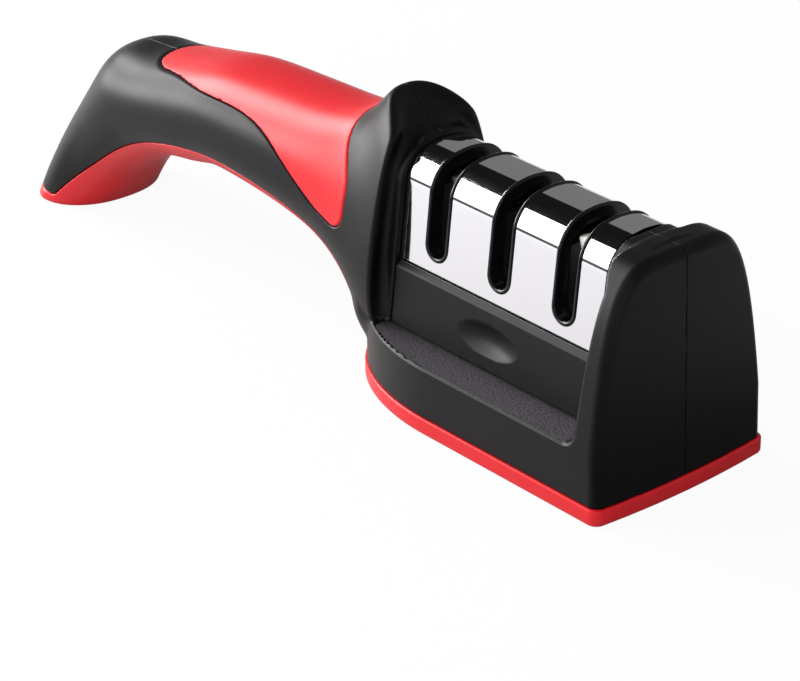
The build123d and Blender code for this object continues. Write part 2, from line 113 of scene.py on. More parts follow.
# ---------------------------------------------------------------- curves in the side view
def spline(points: Sequence[tuple[float, ...]], count: int) -> Array:
    """Natural cubic spline through points, with knots at their chord lengths.

    Args:
        points: Two or more points of any dimension.
        count: How many samples to return, evenly spaced in the knot parameter.

    Returns:
        Samples, one row each. Second derivatives solve the usual tridiagonal system.
    """
    p = np.array(points, float)
    knots = np.concatenate([[0.0], np.cumsum(np.linalg.norm(np.diff(p[:, :2], axis=0), axis=1))])
    h = np.diff(knots)
    n = len(p)
    system = np.eye(n)
    right = np.zeros_like(p)
    rows = np.arange(1, n - 1)
    system[rows, rows - 1], system[rows, rows + 1] = h[:-1], h[1:]
    system[rows, rows] = 2 * (h[:-1] + h[1:])
    slope = np.diff(p, axis=0) / h[:, None]
    right[1:-1] = 6.0 * np.diff(slope, axis=0)
    bend = np.linalg.solve(system, right)
    at = np.linspace(0.0, knots[-1], count)
    k = np.clip(np.searchsorted(knots, at, side="right") - 1, 0, n - 2)
    a, b = (knots[k + 1] - at)[:, None], (at - knots[k])[:, None]
    step = h[k][:, None]
    cubic = (bend[k] * a**3 + bend[k + 1] * b**3) / (6.0 * step)
    before, after = (p[i] / step - bend[i] * step / 6.0 for i in (k, k + 1))
    return cubic + before * a + after * b


@dataclass
class SideCurve:
    """Smooth curve in the side view, through points (X, Z) that may carry more values."""

    points: Sequence[tuple[float, ...]]
    samples: int = 260

    def __post_init__(self) -> None:
        """Sample the curve once."""
        self.line = spline(self.points, self.samples)

    def measure(self, x: Array, z: Array) -> tuple[Array, Array]:
        """Signed distance to the curve, and how far along it the nearest place lies.

        Args:
            x: Places along X, flat.
            z: Heights, flat, as many.

        Returns:
            The distance, positive on the right-hand side of the curve's direction, and the
            sample number of the nearest place with its fraction.
        """
        best = np.full(x.shape, FAR)
        side = np.ones(x.shape)
        along = np.zeros(x.shape)
        p, d = self.line[:-1, :2], np.diff(self.line[:, :2], axis=0)
        last = len(d) - 1
        for k in range(len(d)):
            length = d[k] @ d[k]
            t = ((x - p[k, 0]) * d[k, 0] + (z - p[k, 1]) * d[k, 1]) / length
            t = np.clip(t, -FAR if k == 0 else 0.0, FAR if k == last else 1.0)
            gap_x, gap_z = x - p[k, 0] - t * d[k, 0], z - p[k, 1] - t * d[k, 1]
            square = gap_x**2 + gap_z**2
            near = square < best
            best = np.where(near, square, best)
            side = np.where(near, np.sign(gap_x * d[k, 1] - gap_z * d[k, 0] + 1e-12), side)
            along = np.where(near, k + np.clip(t, 0.0, 1.0), along)
        return side * np.sqrt(best), along


@dataclass
class SideTable:
    """Values that depend on the side view alone, worked out once and looked up smoothly."""

    low: tuple[float, float]
    high: tuple[float, float]
    step: float
    layers: Callable[[Array, Array], list[Array]]

    def __post_init__(self) -> None:
        """Fill the table on its grid."""
        counts = [int(round((h - l) / self.step)) + 1 for l, h in zip(self.low, self.high)]
        xs = self.low[0] + self.step * np.arange(counts[0])
        zs = self.low[1] + self.step * np.arange(counts[1])
        gx, gz = np.meshgrid(xs, zs, indexing="ij")
        self.values = np.stack([v.reshape(gx.shape) for v in self.layers(gx.ravel(), gz.ravel())])

    def soften(self, layers: int, near: float, deep: float, rounds: int = 24) -> None:
        """Smooth the first layers away from their zero line, where a distance has creases.

        Args:
            layers: How many layers from the first.
            near: Distance up to which a layer stays as it is.
            deep: Distance from which on it is fully smoothed.
            rounds: How often each value is mixed with its neighbours.
        """
        exact = self.values[:layers]
        soft = exact.copy()
        for _ in range(rounds):
            for axis in (1, 2):
                padded = np.pad(soft, [(1, 1) if k == axis else (0, 0) for k in range(3)], "edge")
                low, high = (np.take(padded, np.arange(soft.shape[axis]) + k, axis) for k in (0, 2))
                soft = 0.5 * soft + 0.25 * (low + high)
        share = ease(np.abs(exact), near, deep)
        self.values[:layers] = exact + (soft - exact) * share

    def look_up(self, x: Array, z: Array) -> Array:
        """All layers at the given places, by Catmull-Rom interpolation in both directions.

        Args:
            x: Places along X.
            z: Heights, broadcast against x.

        Returns:
            An array with the layer first, then the broadcast shape of x and z.
        """
        x, z = np.broadcast_arrays(x, z)
        weights, starts = [], []
        for value, low, size in zip((x, z), self.low, self.values.shape[1:]):
            at = np.clip((value - low) / self.step, 1.0, size - 2.001)
            start = np.floor(at).astype(int)
            t = at - start
            weights.append((
                0.5 * t * (t * (2.0 - t) - 1.0), 0.5 * (t * t * (3.0 * t - 5.0) + 2.0),
                0.5 * t * (t * (4.0 - 3.0 * t) + 1.0), 0.5 * t * t * (t - 1.0),
            ))
            starts.append(start - 1)
        total = np.zeros((len(self.values), *x.shape))
        for i in range(4):
            for j in range(4):
                total += self.values[:, starts[0] + i, starts[1] + j] * (weights[0][i] * weights[1][j])
        return total


# ---------------------------------------------------------------- meshes
@dataclass
class Shape:
    """Vertices in millimetres, faces, and optional vertex normals."""

    points: Array
    faces: list | Array
    normals: Array | None = None


def grid_faces(rows: int, columns: int, close_rows: bool = False, close_columns: bool = False) -> Array:
    """Four-sided faces of a grid of vertices that is stored row after row.

    Args:
        rows: Number of rows.
        columns: Number of vertices in a row.
        close_rows: Whether the last row joins the first.
        close_columns: Whether the last column joins the first.

    Returns:
        One row of four vertex numbers for each face.
    """
    r = np.arange(rows if close_rows else rows - 1)[:, None]
    c = np.arange(columns if close_columns else columns - 1)[None, :]
    r2, c2 = (r + 1) % rows, (c + 1) % columns
    corners = [r * columns + c, r * columns + c2, r2 * columns + c2, r2 * columns + c]
    return np.stack(corners, -1).reshape(-1, 4)


def capped(points: Array, rings: int, turned: bool = False) -> Shape:
    """Closed shape of rings of points, one after another, with a flat cap at each end.

    Args:
        points: The rings' vertices, ring after ring.
        rings: Number of rings.
        turned: Whether the faces between the rings are turned round.

    Returns:
        The shape, whose caps face away from each other.
    """
    count = len(points) // rings
    faces = grid_faces(rings, count, close_columns=True)
    faces = (faces[:, ::-1] if turned else faces).tolist()
    ends = list(range(count))[::-1], list(range(len(points) - count, len(points)))
    return Shape(points, [*faces, *ends])


def join_shapes(shapes: Sequence[Shape]) -> Shape:
    """One shape that holds several whose faces are arrays, with their vertex numbers shifted."""
    starts = np.cumsum([0] + [len(shape.points) for shape in shapes[:-1]])
    faces = np.concatenate([shape.faces + start for shape, start in zip(shapes, starts)])
    return Shape(np.concatenate([shape.points for shape in shapes]), faces)


@dataclass
class Moulding:
    """A solid given as a distance field, and turned to a mesh whose vertices lie on its surface.

    The field is sampled on a grid of planes. Every cell that the surface passes gets one
    vertex, at the mean of the places where its edges are crossed, and every crossed edge gets
    one face between the four cells round it. The vertices are then moved along the field's
    slope onto the surface, evened out within it and moved back, and the slope is their normal.
    """

    distance: Callable[[Array, Array, Array], Array]
    planes: tuple[Array, Array, Array]
    rounds: int = 3
    first_reach: float = 0.9
    next_reach: float = 0.4
    probe: float = 0.02
    least_slope: float = 0.05

    def slope(self, p: Array) -> tuple[Array, Array]:
        """Field and its gradient at points, by central differences."""
        parts = []
        for shift in self.probe * np.eye(3):
            more, less = self.distance(*(p + shift).T), self.distance(*(p - shift).T)
            parts.append((more - less) / (2.0 * self.probe))
        return self.distance(*p.T), np.stack(parts, -1)

    def settle(self, p: Array, reach: float) -> tuple[Array, Array]:
        """Move points onto the surface by three Newton steps of at most reach; return normals."""
        for _ in range(3):
            value, slope = self.slope(p)
            steep = np.sqrt(np.maximum((slope**2).sum(-1), self.least_slope))
            p = p - slope * (np.clip(value / steep, -reach, reach) / steep)[:, None]
        _, slope = self.slope(p)
        return p, slope / np.maximum(np.linalg.norm(slope, axis=-1, keepdims=True), 1e-9)

    @staticmethod
    def cells_round(edges: Sequence[Array], axis: int) -> list[tuple[Array, ...]]:
        """The four cells round each grid edge that runs along an axis, in order round it."""
        ring = []
        for offsets in ((1, 1), (0, 1), (0, 0), (1, 0)):
            shift = list(offsets)
            shift.insert(axis, 0)
            ring.append(tuple(edge - s for edge, s in zip(edges, shift)))
        return ring

    def shape(self) -> Shape:
        """Mesh of the surface.

        Returns:
            Vertices on the surface, four-sided faces that point outwards, and normals.
        """
        field = self.distance(*np.ix_(*self.planes))
        field = np.broadcast_to(field, [len(plane) for plane in self.planes])
        inside = field < 0
        cells = tuple(n - 1 for n in inside.shape)
        total, count = np.zeros((*cells, 3)), np.zeros(cells)
        crossings = []
        for axis, along in enumerate(self.planes):
            behind, ahead = (
                tuple(part if k == axis else slice(None) for k in range(3))
                for part in (slice(None, -1), slice(1, None))
            )
            edges = np.nonzero(inside[behind] != inside[ahead])
            start, stop = field[behind][edges], field[ahead][edges]
            place = np.stack([plane[edge] for plane, edge in zip(self.planes, edges)], -1)
            place[:, axis] += start / (start - stop) * (along[edges[axis] + 1] - along[edges[axis]])
            ring = self.cells_round(edges, axis)
            fits = [np.all([(c >= 0) & (c < n) for c, n in zip(cell, cells)], 0) for cell in ring]
            for cell, fit in zip(ring, fits):
                index = tuple(c[fit] for c in cell)
                np.add.at(total, index, place[fit])
                np.add.at(count, index, 1.0)
            whole = np.all(fits, 0)
            turn = (start < 0)[whole] ^ (axis == 1)
            crossings.append(([tuple(c[whole] for c in cell) for cell in ring], turn))
        active = count > 0
        number = np.full(cells, -1)
        number[active] = np.arange(active.sum())
        faces = []
        for ring, turn in crossings:
            quads = np.stack([number[cell] for cell in ring], -1)
            faces.append(np.where(turn[:, None], quads, quads[:, ::-1]))
        faces = np.concatenate(faces)
        widest = max(float(np.diff(plane).max()) for plane in self.planes)
        points, normals = self.settle(total[active] / count[active][:, None], self.first_reach * widest)
        for _ in range(self.rounds):
            points = self.even_out(points, faces, normals)
            points, normals = self.settle(points, self.next_reach * widest)
        return Shape(points, faces, normals)

    @staticmethod
    def even_out(points: Array, faces: Array, normals: Array, share: float = 0.4) -> Array:
        """Move each vertex towards the mean of its neighbours, within the surface only."""
        total, count = np.zeros_like(points), np.zeros(len(points))
        for k in range(4):
            a, b = faces[:, k], faces[:, (k + 1) % 4]
            for i, j in ((a, b), (b, a)):
                for axis in range(3):
                    total[:, axis] += np.bincount(i, points[j, axis], len(points))
                count += np.bincount(i, minlength=len(points))
        move = total / np.maximum(count, 1)[:, None] - points
        move -= normals * (move * normals).sum(-1, keepdims=True)
        return points + share * move


def planes(low: float, high: float, step: float) -> Array:
    """Evenly spaced grid planes that cover a stretch with a margin of one step."""
    count = int(np.ceil((high - low) / step)) + 3
    return low - step + step * np.arange(count)


def seam_planes(high: float, step: float, fine: float) -> Array:
    """Grid planes from just past the seam to high, fine near the seam and even beyond it."""
    near = -fine * np.arange(-1, 5)
    far = np.arange(near[-1] - step, -high - 2 * step, -step)
    return np.concatenate([near, far])[::-1]


# ---------------------------------------------------------------- forms that several pieces share
@dataclass
class HeadForm:
    """Drafted, round-shouldered block of the sharpening head, and the slots across it."""

    front: float
    rear: float
    top: float
    half_top: float = 9.5
    draft: float = np.radians(5.86)
    shoulder: float = 7.5
    slot_pitch: float = 18.7
    slot_half: float = 3.5
    slot_lip: float = 1.05
    slot_foot: float = 31.65
    crown: float = 0.35
    crown_fade: float = 0.3

    @property
    def middle(self) -> float:
        """Middle of the head along X."""
        return -(self.front + self.rear) / 2

    @property
    def slots(self) -> tuple[float, float, float]:
        """Middles of the slots along X, from the fin to the nose."""
        return tuple(self.middle + k * self.slot_pitch for k in (-1, 0, 1))

    @property
    def slot_bend(self) -> float:
        """Height of the middle of the slots' round ends."""
        return self.slot_foot + self.slot_half

    @property
    def turn(self) -> float:
        """Angle of the shoulder's arc: 90 degrees less the draft."""
        return np.pi / 2 - self.draft

    @property
    def flat(self) -> float:
        """Half width of the top, up to where the shoulder's arc begins."""
        return self.half_top - self.shoulder * np.tan(self.turn / 2)

    def side(self, y: Array, z: Array) -> Array:
        """Distance to the two drafted sides: |y| less a half width that shrinks with height."""
        return (np.abs(y) - self.half_top - (self.top - z) * np.tan(self.draft)) * np.cos(self.draft)

    def distance(self, y: Array, z: Array) -> Array:
        """Distance to the cross-section: the sides cut off at the top with round shoulders."""
        return round_cut(self.side(y, z), z - self.top, self.shoulder)

    def ends(self, x: Array) -> Array:
        """Distance to the two end faces."""
        return np.abs(x - self.middle) - (self.rear - self.front) / 2

    def slot(self, x: Array, z: Array, place: float) -> Array:
        """Distance to one U-shaped slot that is open at the top."""
        return np.hypot(x - place, np.minimum(z - self.slot_bend, 0.0)) - self.slot_half

    def wrap(self, along: Array) -> tuple[Array, Array]:
        """Place and outward direction on the cross-section's outline.

        Args:
            along: Distance along the outline from the middle of the top, + towards +Y.

        Returns:
            (y, z) places and (y, z) directions. The top is almost flat, with a low crown, then
            comes an arc of the shoulder's radius that turns by 90 degrees less the draft, then
            the straight side.
        """
        s, sign = np.abs(along), np.where(along < 0, -1.0, 1.0)
        angle = np.clip((s - self.flat) / self.shoulder, 0.0, self.turn)
        straight = np.maximum(s - self.flat - self.shoulder * self.turn, 0.0)
        y = np.minimum(s, self.flat) + self.shoulder * np.sin(angle) + straight * np.cos(self.turn)
        z = self.top - self.shoulder * (1.0 - np.cos(angle)) - straight * np.sin(self.turn)
        z = z + self.crown * (1.0 - ease(s, 0.0, self.flat + self.crown_fade * self.shoulder))
        return np.stack([sign * y, z], -1), np.stack([sign * np.sin(angle), np.cos(angle)], -1)

    def down_to(self, height: float) -> float:
        """Distance along the outline from the middle of the top down to a height on the side."""
        arc_foot = self.top - self.shoulder * (1.0 - np.cos(self.turn))
        return self.flat + self.shoulder * self.turn + (arc_foot - height) / np.sin(self.turn)


@dataclass
class BaseForm:
    """Base with a half-elliptic rear, and the arched nose that closes its front."""

    half: float
    foot: float
    ledge: float = 15.0
    crown: float = 52.7
    taper_start: float = -50.0
    taper_length: float = 36.0
    bow: float = 1.3
    arch_power: float = 5.4
    lean: float = np.tan(np.radians(2.6))
    edge_radius: float = 2.4
    lip_radius: float = 0.9
    nose_wall: float = 7.3
    nose_slope: float = -0.8
    nose_lip: float = 2.6
    lip_heights: tuple[float, float] = (46.0, 52.2)
    corner_radius: float = 3.0
    collar_stand: float = 0.7
    collar_depth: float = 2.0
    collar_radius: float = 0.8
    foot_radius: float = 0.3

    def plan(self, x: Array, y: Array) -> Array:
        """Distance to the outline seen from above: straight sides, then half an ellipse."""
        behind = np.minimum(x - self.taper_start, 0.0)
        share = np.hypot(behind / self.taper_length, y / self.half)
        slope = np.hypot(behind / self.taper_length**2, y / self.half**2) / np.maximum(share, 1e-6)
        return (share - 1.0) / np.maximum(slope, 0.5 / self.taper_length)

    def arch(self, y: Array, z: Array) -> Array:
        """Distance to the nose's arch, whose height falls with a high power of |y|."""
        share = np.abs(y) / self.half
        rise = self.crown - self.ledge
        fall = self.arch_power * rise / self.half * share ** (self.arch_power - 1.0)
        over = (z - self.ledge - rise * (1.0 - share**self.arch_power)) / np.hypot(1.0, fall)
        return np.maximum(over, np.abs(y) - self.half)

    def front(self, x: Array, y: Array, z: Array) -> Array:
        """Distance to the bowed front, an upright cylinder that leans back with height."""
        radius = (self.half**2 + self.bow**2) / (2.0 * self.bow)
        bowed = np.hypot(x + radius - self.bow, y) - radius
        return (bowed + (z - self.foot) * self.lean) / np.hypot(1.0, self.lean)

    def nose_back(self, z: Array) -> Array:
        """How far behind the datum the nose's rear face lies at a height."""
        lip = self.nose_lip * ease(z, *self.lip_heights)
        return self.nose_wall + self.nose_slope * (z - self.ledge) / (self.crown - self.ledge) + lip

    def pocket(self, x: Array, z: Array) -> Array:
        """Distance to the room above the ledge and behind the nose."""
        return round_cut(self.ledge - z, x + self.nose_back(z), self.corner_radius)

    def distance(self, x: Array, y: Array, z: Array, head: HeadForm) -> Array:
        """Distance to the base with its nose and the collar between the nose and the head."""
        side = np.maximum(self.plan(x, y), self.arch(y, z))
        block = round_cut(side, self.front(x, y, z), self.edge_radius)
        form = round_cut(block, -self.pocket(x, z), self.lip_radius)
        collar = np.maximum(head.distance(y, z) - self.collar_stand, -(x + head.front - HEAD_GAP))
        collar = np.maximum(collar, x + self.nose_wall - self.collar_depth)
        collar = round_cut(collar, self.arch(y, z), self.collar_radius)
        form = round_join(form, collar, self.collar_radius)
        return round_cut(form, self.foot - z, self.foot_radius)


@dataclass
class HandleForm:
    """Neck, handle and tail: an oval between a crest and an underside, cut off by the fin's face.

    Each station holds the crest's place behind the fin and its height, the underside's place
    and height, the half width, and how much narrower the top half is.
    """

    fin: float
    power: float = 2.35
    stations: tuple[tuple[float, ...], ...] = (
        (-5.5, 64.8, -5.5, 5.0, 17.4, 0.30),
        (3.5, 64.2, 2.5, 5.0, 16.6, 0.30),
        (10.0, 60.5, 9.3, 5.6, 15.9, 0.25),
        (15.4, 54.8, 15.2, 13.6, 15.6, 0.17),
        (22.5, 52.4, 22.9, 19.7, 15.4, 0.08),
        (36.5, 51.1, 36.5, 23.6, 15.2, 0.04),
        (54.5, 50.1, 54.5, 25.4, 15.0, 0.02),
        (63.5, 49.3, 63.0, 25.2, 14.9, 0.01),
        (73.5, 47.4, 70.0, 23.6, 14.8, 0.0),
        (82.0, 45.7, 78.0, 22.2, 14.7, 0.0),
        (91.0, 44.3, 86.0, 19.6, 14.6, 0.0),
        (100.5, 43.0, 93.5, 15.6, 14.4, 0.0),
        (108.8, 34.6, 100.7, 10.4, 14.1, 0.0),
        (117.0, 22.0, 105.6, 4.6, 14.3, 0.0),
        (123.6, 10.6, 109.2, -0.4, 15.2, 0.0),
        (129.4, 0.0, 112.8, -6.0, 15.8, 0.0),
    )
    saddle_tip: tuple[float, float] = (14.6, 31.2)
    saddle_side: tuple[tuple[float, float], ...] = (
        (20.4, 33.0), (27.0, 36.6), (33.5, 40.6), (38.5, 43.2), (46.0, 45.0), (62.0, 45.1),
        (76.0, 44.6), (85.0, 44.2),
    )
    saddle_rear: tuple[float, float] = (92.8, 47.4)
    saddle_front: float = 11.2
    saddle_growth: float = 5.5
    saddle_heights: tuple[float, float] = (40.0, 55.0)
    saddle_tip_radius: float = 4.5
    cove_radius: float = 2.2
    cove_reach: float = 1.6
    collar_stand: float = 1.5
    collar_radius: float = 0.4
    collar_inset: float = 1.2
    collar_root: float = 0.6
    under_side: tuple[tuple[float, float], ...] = (
        (7.5, 3.7), (8.9, 13.5), (10.6, 18.8), (14.3, 22.6), (20.5, 25.4), (33.5, 29.0),
        (54.5, 31.2), (73.5, 29.4), (92.5, 22.3), (104.5, 13.8), (113.5, 6.2), (117.3, 2.4),
    )
    under_rear: tuple[float, float] = (140.0, 5.6)
    under_front: float = 7.5
    under_radius: float = 0.8
    flare: float = 0.2
    flare_heights: tuple[float, float] = (16.0, 42.0)
    flare_places: tuple[float, float] = (6.0, 26.0)
    lean_height: float = 53.4
    lean_growth: float = 0.143
    dish: float = 1.1
    dish_reach: float = 4.5
    dish_heights: tuple[float, float] = (20.0, 30.0)
    rim_radius: float = 0.9
    foot_radius: float = 0.8
    table_step: float = 0.5
    least_height: float = 4.0
    narrow_limit: float = 1.3

    def __post_init__(self) -> None:
        """Work out everything that depends on the side view alone."""
        crest = SideCurve([(-self.fin - s[0], s[1]) for s in self.stations])
        under = SideCurve([(-self.fin - s[2], s[3]) for s in self.stations])
        middles = [(-self.fin - (s[0] + s[2]) / 2, s[4], s[5]) for s in self.stations]
        widths = spline(middles, 400)[::-1]
        saddle = SideCurve(self.behind((self.saddle_tip, *self.saddle_side, self.saddle_rear)))
        lower = SideCurve(self.behind(self.under_side))
        last = SideCurve(self.behind((self.under_side[-1], self.under_rear)), 2)

        def layers(x: Array, z: Array) -> list[Array]:
            """Distances to the crest and underside, half width, narrowing, and the grips' edges."""
            half, narrowing = (np.interp(x, widths[:, 0], widths[:, k]) for k in (1, 2))
            foot = (1.0 - ease(z, *self.flare_heights)) * (1.0 - ease(-x - self.fin, *self.flare_places))
            grip_side, grip_rear = lower.measure(x, z)[0], last.measure(x, z)[0]
            return [
                -crest.measure(x, z)[0], under.measure(x, z)[0], half + self.flare * foot, narrowing,
                -saddle.measure(x, z)[0], round_join(grip_side, grip_rear, self.under_radius),
            ]

        low, high = (-self.fin - self.under_rear[0], -6.0), (-self.fin + 8.0, 68.0)
        self.table = SideTable(low, high, self.table_step, layers)
        self.table.soften(layers=2, near=1.5, deep=7.0)

    def behind(self, places: Iterable[tuple[float, float]]) -> list[tuple[float, float]]:
        """Places given behind the fin's face, in the side view."""
        return [(-self.fin - x, z) for x, z in places]

    def skin(self, y: Array, values: Array) -> Array:
        """Distance to the oval: a superellipse over the height and the half width."""
        crest, under, half, narrowing = values[:4]
        height = np.maximum(crest + under, self.least_height)
        up = (under - crest) / height
        width = half * (1.0 - narrowing * np.clip(up, -self.narrow_limit, self.narrow_limit))
        a, b = np.abs(up), np.abs(y) / width
        share = np.maximum((a**self.power + b**self.power) ** (1.0 / self.power), 0.05)
        rise = (a / share) ** (self.power - 1.0) * 2.0 / height
        across = (b / share) ** (self.power - 1.0) / width
        return (share - 1.0) / np.maximum(np.hypot(rise, across), 0.02)

    def face(self, x: Array, z: Array, skin: Array) -> Array:
        """Distance to the fin's face: upright, then leaning back, and dished inside its rim."""
        over = np.maximum(z - self.lean_height, 0.0)
        dish = self.dish * ease(-skin, self.rim_radius, self.dish_reach) * ease(z, *self.dish_heights)
        back = self.fin + self.lean_growth * over**2 + dish
        return (x + back) / np.hypot(1.0, 2.0 * self.lean_growth * over)

    def distance(self, x: Array, y: Array, z: Array, head: HeadForm) -> tuple[Array, Array, Array]:
        """Distance to the neck, handle and tail, and to the edges of the two grips.

        Returns:
            The handle with the collar that frames the head, the saddle's zone and the
            under-grip's zone, each negative inside.
        """
        values = self.table.look_up(x, z)
        skin = self.skin(y, values)
        form = round_cut(skin, self.face(x, z, skin), self.rim_radius)
        behind = x + self.fin
        collar = head.distance(y, z) - self.collar_stand
        collar = round_cut(collar, x + head.rear + HEAD_GAP, self.collar_radius)
        collar = np.maximum(np.maximum(collar, skin + self.collar_inset), -(behind + self.collar_root))
        cove = LEAST_RADIUS + self.cove_radius * ease(-skin, 0.0, self.cove_reach)
        form = round_cut(round_join(form, collar, cove), -z, self.foot_radius)
        front = behind + self.saddle_front + self.saddle_growth * ease(z, *self.saddle_heights)
        saddle = round_cut(values[4], front, self.saddle_tip_radius)
        under = np.maximum(values[5], behind + self.under_front)
        return form, saddle, under


@dataclass
class BodyForm:
    """Whole outside of the base body, which the shells, grips and tray share."""

    head: HeadForm
    base: BaseForm
    handle: HandleForm
    blend_front: float = 1.0
    blend_rear: float = 4.7
    blend_places: tuple[float, float] = (0.8, 6.0)
    blend_height: float = 4.0

    def distance(self, x: Array, y: Array, z: Array) -> tuple[Array, Array, Array]:
        """Distance to the body, to the saddle's zone and to the under-grip's zone."""
        base = self.base.distance(x, y, z, self.head)
        handle, saddle, under = self.handle.distance(x, y, z, self.head)
        foot, behind = self.base.foot, -x - self.handle.fin
        growth = ease(behind, *self.blend_places) * ease(z, foot + 1.0, self.base.ledge)
        blend = self.blend_front + (self.blend_rear - self.blend_front) * growth
        blend = LEAST_RADIUS + blend * ease(z, foot, foot + self.blend_height)
        return round_join(base, handle, blend), saddle, under


# ---------------------------------------------------------------- finishes
def linear(code: str) -> tuple[float, float, float, float]:
    """sRGB hex code as linear light with full alpha."""
    parts = [int(code[i:i + 2], 16) / 255.0 for i in (1, 3, 5)]
    return (*[p / 12.92 if p <= 0.04045 else ((p + 0.055) / 1.055) ** 2.4 for p in parts], 1.0)


def add_node(tree: Tree, kind: str, inputs: dict | None = None, **settings) -> bpy.types.Node:
    """Add a node, set its properties and fill or link its inputs.

    Args:
        tree: Node tree to add to.
        kind: Node type after "ShaderNode", such as Bump.
        inputs: Values or output sockets by input name or number.
        **settings: Properties of the node itself.

    Returns:
        The new node.
    """
    node = tree.nodes.new("ShaderNode" + kind)
    for name, value in settings.items():
        setattr(node, name, value)
    for name, value in (inputs or {}).items():
        if isinstance(value, bpy.types.NodeSocket):
            tree.links.new(value, node.inputs[name])
        else:
            node.inputs[name].default_value = value
    return node


@dataclass(frozen=True)
class Finish:
    """What every material states: its name, colour, and the shader's plain values."""

    name: str
    colour: str
    roughness: float
    metallic: float = 0.0
    ior: float = 1.5
    specular: float = 0.5
    grain_mm: float = 0.5
    grain_depth_mm: float = 0.01
    grain_strength: float = 0.3
    # How far the colour swings to either side of its tone; under a leather grain the dark side is painted
    # shade in the valleys and the light side painted light on the tops.
    mottle: float = 0.06
    mottle_mm: float = 9.0
    wear: float = 0.04

    def bump(self, tree: Tree, place: Socket) -> Socket:
        """Height of the surface's grain: noise as fine as the grain."""
        noise = add_node(tree, "TexNoise", {
            "Vector": place, "Scale": 1.0 / (self.grain_mm * MM), "Detail": 3.0, "Roughness": 0.55,
        })
        return noise.outputs["Fac"]

    def tone(self, mottle: Socket, height: Socket) -> Socket:
        """What the colour follows from dark to light: here the broad mottle."""
        return mottle

    def make(self) -> bpy.types.Material:
        """Build the material: colour that follows its tone from dark to light, which for a leather grain
        paints shade into the valleys; uneven gloss, and grain as bump.

        Returns:
            The material, with every pattern on Object coordinates.
        """
        material = bpy.data.materials.new(self.name)
        material.use_nodes = True
        tree = material.node_tree
        shader = tree.nodes["Principled BSDF"]
        shader.inputs["Metallic"].default_value = self.metallic
        if self.metallic < 0.5:
            shader.inputs["IOR"].default_value = self.ior
            shader.inputs["Specular IOR Level"].default_value = self.specular
        place = add_node(tree, "TexCoord").outputs["Object"]
        broad = add_node(tree, "TexNoise", {
            "Vector": place, "Scale": 1.0 / (self.mottle_mm * MM), "Detail": 4.0, "Roughness": 0.6,
        }).outputs["Fac"]
        height = self.bump(tree, place)
        dark, light = (
            (*[min(c * share, 1.0) for c in linear(self.colour)[:3]], 1.0)
            for share in (1.0 - self.mottle, 1.0 + self.mottle)
        )
        tint = add_node(tree, "Mix", {0: self.tone(broad, height), 6: dark, 7: light}, data_type="RGBA")
        gloss = add_node(tree, "MapRange", {
            "Value": broad, "To Min": self.roughness - self.wear, "To Max": self.roughness + self.wear,
        })
        bump = add_node(tree, "Bump", {
            "Height": height, "Distance": self.grain_depth_mm * MM, "Strength": self.grain_strength,
        })
        for name, output in (
            ("Base Color", tint.outputs[2]), ("Roughness", gloss.outputs["Result"]),
            ("Normal", bump.outputs["Normal"]),
        ):
            tree.links.new(output, shader.inputs[name])
        return material


@dataclass(frozen=True)
class LeatherGrain(Finish):
    """ABS moulded in a spark-eroded tool: rounded pebbles with narrow valleys between them."""

    def tone(self, mottle: Socket, height: Socket) -> Socket:
        """The colour follows the pebbles: paler on their tops and darker in the narrow valleys between
        them, which is painted shade in the valleys.
        """
        return height

    def bump(self, tree: Tree, place: Socket) -> Socket:
        """Height of the pebbles: distance to the nearest cell's middle, turned upside down."""
        cells = add_node(tree, "TexVoronoi", {
            "Vector": place, "Scale": 1.0 / (self.grain_mm * MM), "Smoothness": 0.25,
        }, feature="SMOOTH_F1")
        height = add_node(tree, "Math", {0: 1.0, 1: cells.outputs["Distance"]}, operation="SUBTRACT")
        return height.outputs[0]


@dataclass(frozen=True)
class PlatedGrit(Finish):
    """Steel plated with diamond grit: sharp sparkling grains that stand up from the rod."""

    def bump(self, tree: Tree, place: Socket) -> Socket:
        """Height of the grains: distance to the edge between random cells."""
        cells = add_node(tree, "TexVoronoi", {
            "Vector": place, "Scale": 1.0 / (self.grain_mm * MM),
        }, feature="DISTANCE_TO_EDGE")
        return cells.outputs["Distance"]


@dataclass(frozen=True)
class GroundLines(Finish):
    """Ground or rolled metal: fine straight lines along X, as the wheel or roll leaves them."""

    def bump(self, tree: Tree, place: Socket) -> Socket:
        """Height of the lines: noise that is stretched along X."""
        long = add_node(tree, "Mapping", {"Vector": place, "Scale": (0.02, 1.0, 1.0)})
        noise = add_node(tree, "TexNoise", {
            "Vector": long.outputs["Vector"], "Scale": 1.0 / (self.grain_mm * MM), "Detail": 2.0,
        })
        return noise.outputs["Fac"]


